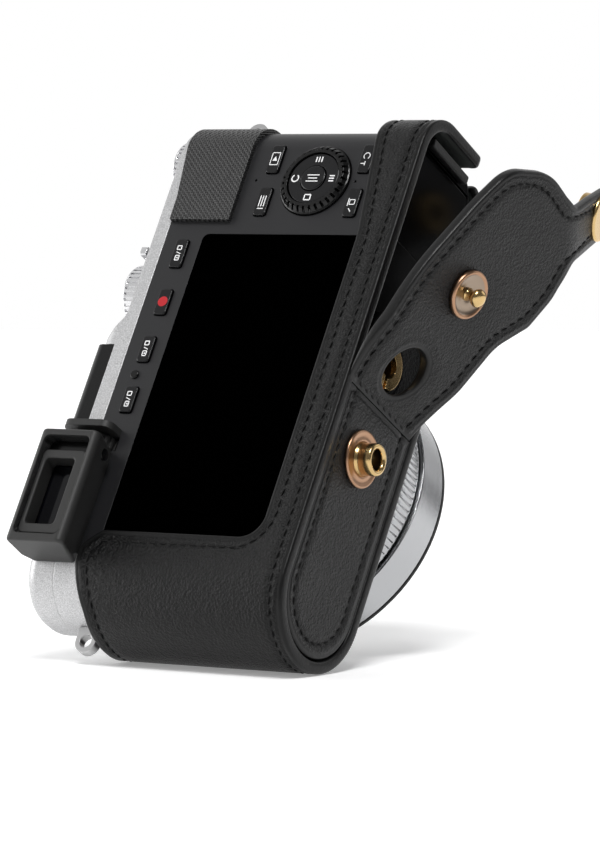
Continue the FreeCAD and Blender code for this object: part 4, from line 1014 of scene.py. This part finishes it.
marks("play_mark", box_line(0, 0, 2.6, 1.7) + [[(-0.45, -0.5), (0.55, 0), (-0.45, 0.5)]],
      52.7, 7.2, KEY_TOP, "play_button")
marks("menu_mark", [bar(0, d, 2.3, 0.2) for d in (-0.55, 0, 0.55)] + [bar(-1.6, 0, 0.2, 1.3)],
      42.2, 6.9, KEY_TOP, "menu_button")
marks("focus_mark", arc_line(0.5, 0, 0.65, -150, 150) + [bar(-1.1, 0, 0.9, 0.18), bar(-1.1, 0.45, 0.18, 0.9)],
      52.8, -15.9, KEY_TOP, "focus_button")
marks("delete_mark", box_line(0, -0.1, 1.0, 1.1) + [bar(0, 0.75, 1.6, 0.18), bar(-1.7, 0, 0.9, 0.18, 0.7)],
      42.05, -15.8, KEY_TOP, "delete_button")
for key, x, z in (("drive", 29.2, 24.0), ("quick", 5.8, 24.0), ("display", -6.4, 24.1)):
    shapes = box_line(1.15, 0.1, 0.8, 0.9, 0.2) + [bar(0.05, 0, 0.16, 1.1, -0.4)]
    shapes += box_line(-1.0, 0, 1.0, 0.8, 0.2) + [bar(-1.0, -0.05, 0.3, 0.3)]
    marks(key + "_mark", shapes, x, z, KEY_TOP, key + "_button")
marks("record_mark", [spot_mark(0, 0, 1.05)], 17.3, 23.8, KEY_TOP, "record_button", RED_MARK)
for side, shapes in (
    ("right", [bar(4.05, d, 1.1, 0.26) for d in (0.6, 0, -0.6)]),
    ("up", arc_line(0, 4.0, 0.72, 30, 330, 0.26)),
    ("left", box_line(-4.05, 0, 1.1, 1.3, 0.24)),
    ("down", [bar(d, -4.0, 0.26, 1.1) for d in (-0.55, 0, 0.55)]),
):
    marks(f"pad_{side}_mark", shapes, PAD_X, PAD_Z, PAD_TOP, "camera")
marks("center_mark", [bar(0.55, 0, 0.2, 2.6), bar(-0.1, 0, 0.2, 2.0), bar(-0.75, 0, 0.2, 2.6)],
      PAD_X, PAD_Z, CENTER_TOP, "center_button")

# ---------------- stage, light and camera

WHITE = ink("floor_white", (0.93, 0.93, 0.93), 0.6, spec=0.2)
glow = WHITE.node_tree.nodes["Principled BSDF"].inputs
glow["Emission Color"].default_value = (1, 1, 1, 1)
glow["Emission Strength"].default_value = 0.25
bpy.ops.mesh.primitive_circle_add(vertices=96, radius=2.2, fill_type="NGON", location=(0, 0, -0.0002))
floor = bpy.context.object
floor.name = "floor"
floor.data.materials.append(WHITE)

VIEW_TURN, VIEW_DOWN, VIEW_DISTANCE = 0.585, 0.054, 1.0093  # radians, radians, metres
SHIFT_RIGHT, SHIFT_UP = 6.487, -2.83  # the aim point's offset from the upright origin, in millimetres
TILT = 0.543  # the lean, in radians, that the view's directions are given for
LENS_LENGTH = 201.7
look = np.array([-math.sin(VIEW_TURN) * math.cos(VIEW_DOWN), math.cos(VIEW_TURN) * math.cos(VIEW_DOWN),
                 -math.sin(VIEW_DOWN)])
right = np.array([math.cos(VIEW_TURN), math.sin(VIEW_TURN), 0])
over = np.cross(right, look)
fitted = np.array([[1, 0, 0], [0, math.cos(TILT), math.sin(TILT)], [0, -math.sin(TILT), math.cos(TILT)]])
packed = np.array([[1, 0, 0], [0, COS, SIN], [0, -SIN, COS]])
look, right, over = (packed @ fitted.T @ v for v in (look, right, over))
eye = MOVE / 1000 + (right * SHIFT_RIGHT + over * SHIFT_UP) / 1000 - look * VIEW_DISTANCE
camera = bpy.data.objects.new("view", bpy.data.cameras.new("view"))
bpy.context.scene.collection.objects.link(camera)
camera.matrix_world = Matrix([[right[i], over[i], -look[i], eye[i]] for i in range(3)] + [[0, 0, 0, 1]])
camera.data.sensor_width = 36.0
camera.data.lens = LENS_LENGTH
camera.data.clip_start, camera.data.clip_end = 0.05, 20
bpy.context.scene.camera = camera

world = bpy.data.worlds.new("studio")
bpy.context.scene.world = world
world.use_nodes = True
tree = world.node_tree
background = tree.nodes["Background"]
direction = tree.nodes.new("ShaderNodeTexCoord")
facing = tree.nodes.new("ShaderNodeVectorMath")
facing.operation = "DOT_PRODUCT"
facing.inputs[1].default_value = (-0.95, 0.25, -0.3)  # the world is brightest on this side
tree.links.new(direction.outputs["Generated"], facing.inputs[0])
fade = tree.nodes.new("ShaderNodeValToRGB")
fade.color_ramp.elements[0].position, fade.color_ramp.elements[1].position = 0.35, 0.8
fade.color_ramp.elements[0].color = (0.15, 0.15, 0.155, 1)
fade.color_ramp.elements[1].color = (1.05, 1.05, 1.05, 1)
half = tree.nodes.new("ShaderNodeMath")  # -1 to 1 becomes 0 to 1
half.operation = "MULTIPLY_ADD"
half.inputs[1].default_value, half.inputs[2].default_value = 0.5, 0.5
tree.links.new(facing.outputs["Value"], half.inputs[0])
tree.links.new(half.outputs[0], fade.inputs[0])
tree.links.new(fade.outputs[0], background.inputs["Color"])
backdrop = tree.nodes.new("ShaderNodeBackground")  # what the lens sees directly is plain white
backdrop.inputs["Color"].default_value = (1, 1, 1, 1)
seen = tree.nodes.new("ShaderNodeLightPath")
choose = tree.nodes.new("ShaderNodeMixShader")
tree.links.new(seen.outputs["Is Camera Ray"], choose.inputs[0])
tree.links.new(background.outputs[0], choose.inputs[1])
tree.links.new(backdrop.outputs[0], choose.inputs[2])
tree.links.new(choose.outputs[0], tree.nodes["World Output"].inputs["Surface"])


def lamp(name, kind, energy, toward, size, place=(0, 0, 0)):
    """A sun, its size in degrees, or a square area lamp, its size in metres."""
    data = bpy.data.lights.new(name, kind)
    data.energy = energy
    if kind == "SUN":
        data.angle = math.radians(size)
    else:
        data.shape, data.size = "SQUARE", size
    obj = bpy.data.objects.new(name, data)
    bpy.context.scene.collection.objects.link(obj)
    obj.rotation_mode = "QUATERNION"
    obj.rotation_quaternion = Vector(toward).to_track_quat("-Z", "Y")
    obj.location = place


lamp("sky_soft", "SUN", 2.3, (-0.27, 0.42, -0.87), 22)
MIDDLE = Vector((0, 0, 0.05))  # the area lamps point here
left_at = Vector(-right * 0.7 + look * 0.15) + Vector((0, 0, 0.2))
lamp("left_box", "AREA", 1.6, MIDDLE - left_at, 0.4, left_at)
side_at = Vector(look * 0.25 + right * 0.6) + Vector((0, 0, 0.35))
lamp("side_box", "AREA", 0.5, MIDDLE - side_at, 0.4, side_at)

bpy.context.scene.view_settings.view_transform = "Standard"
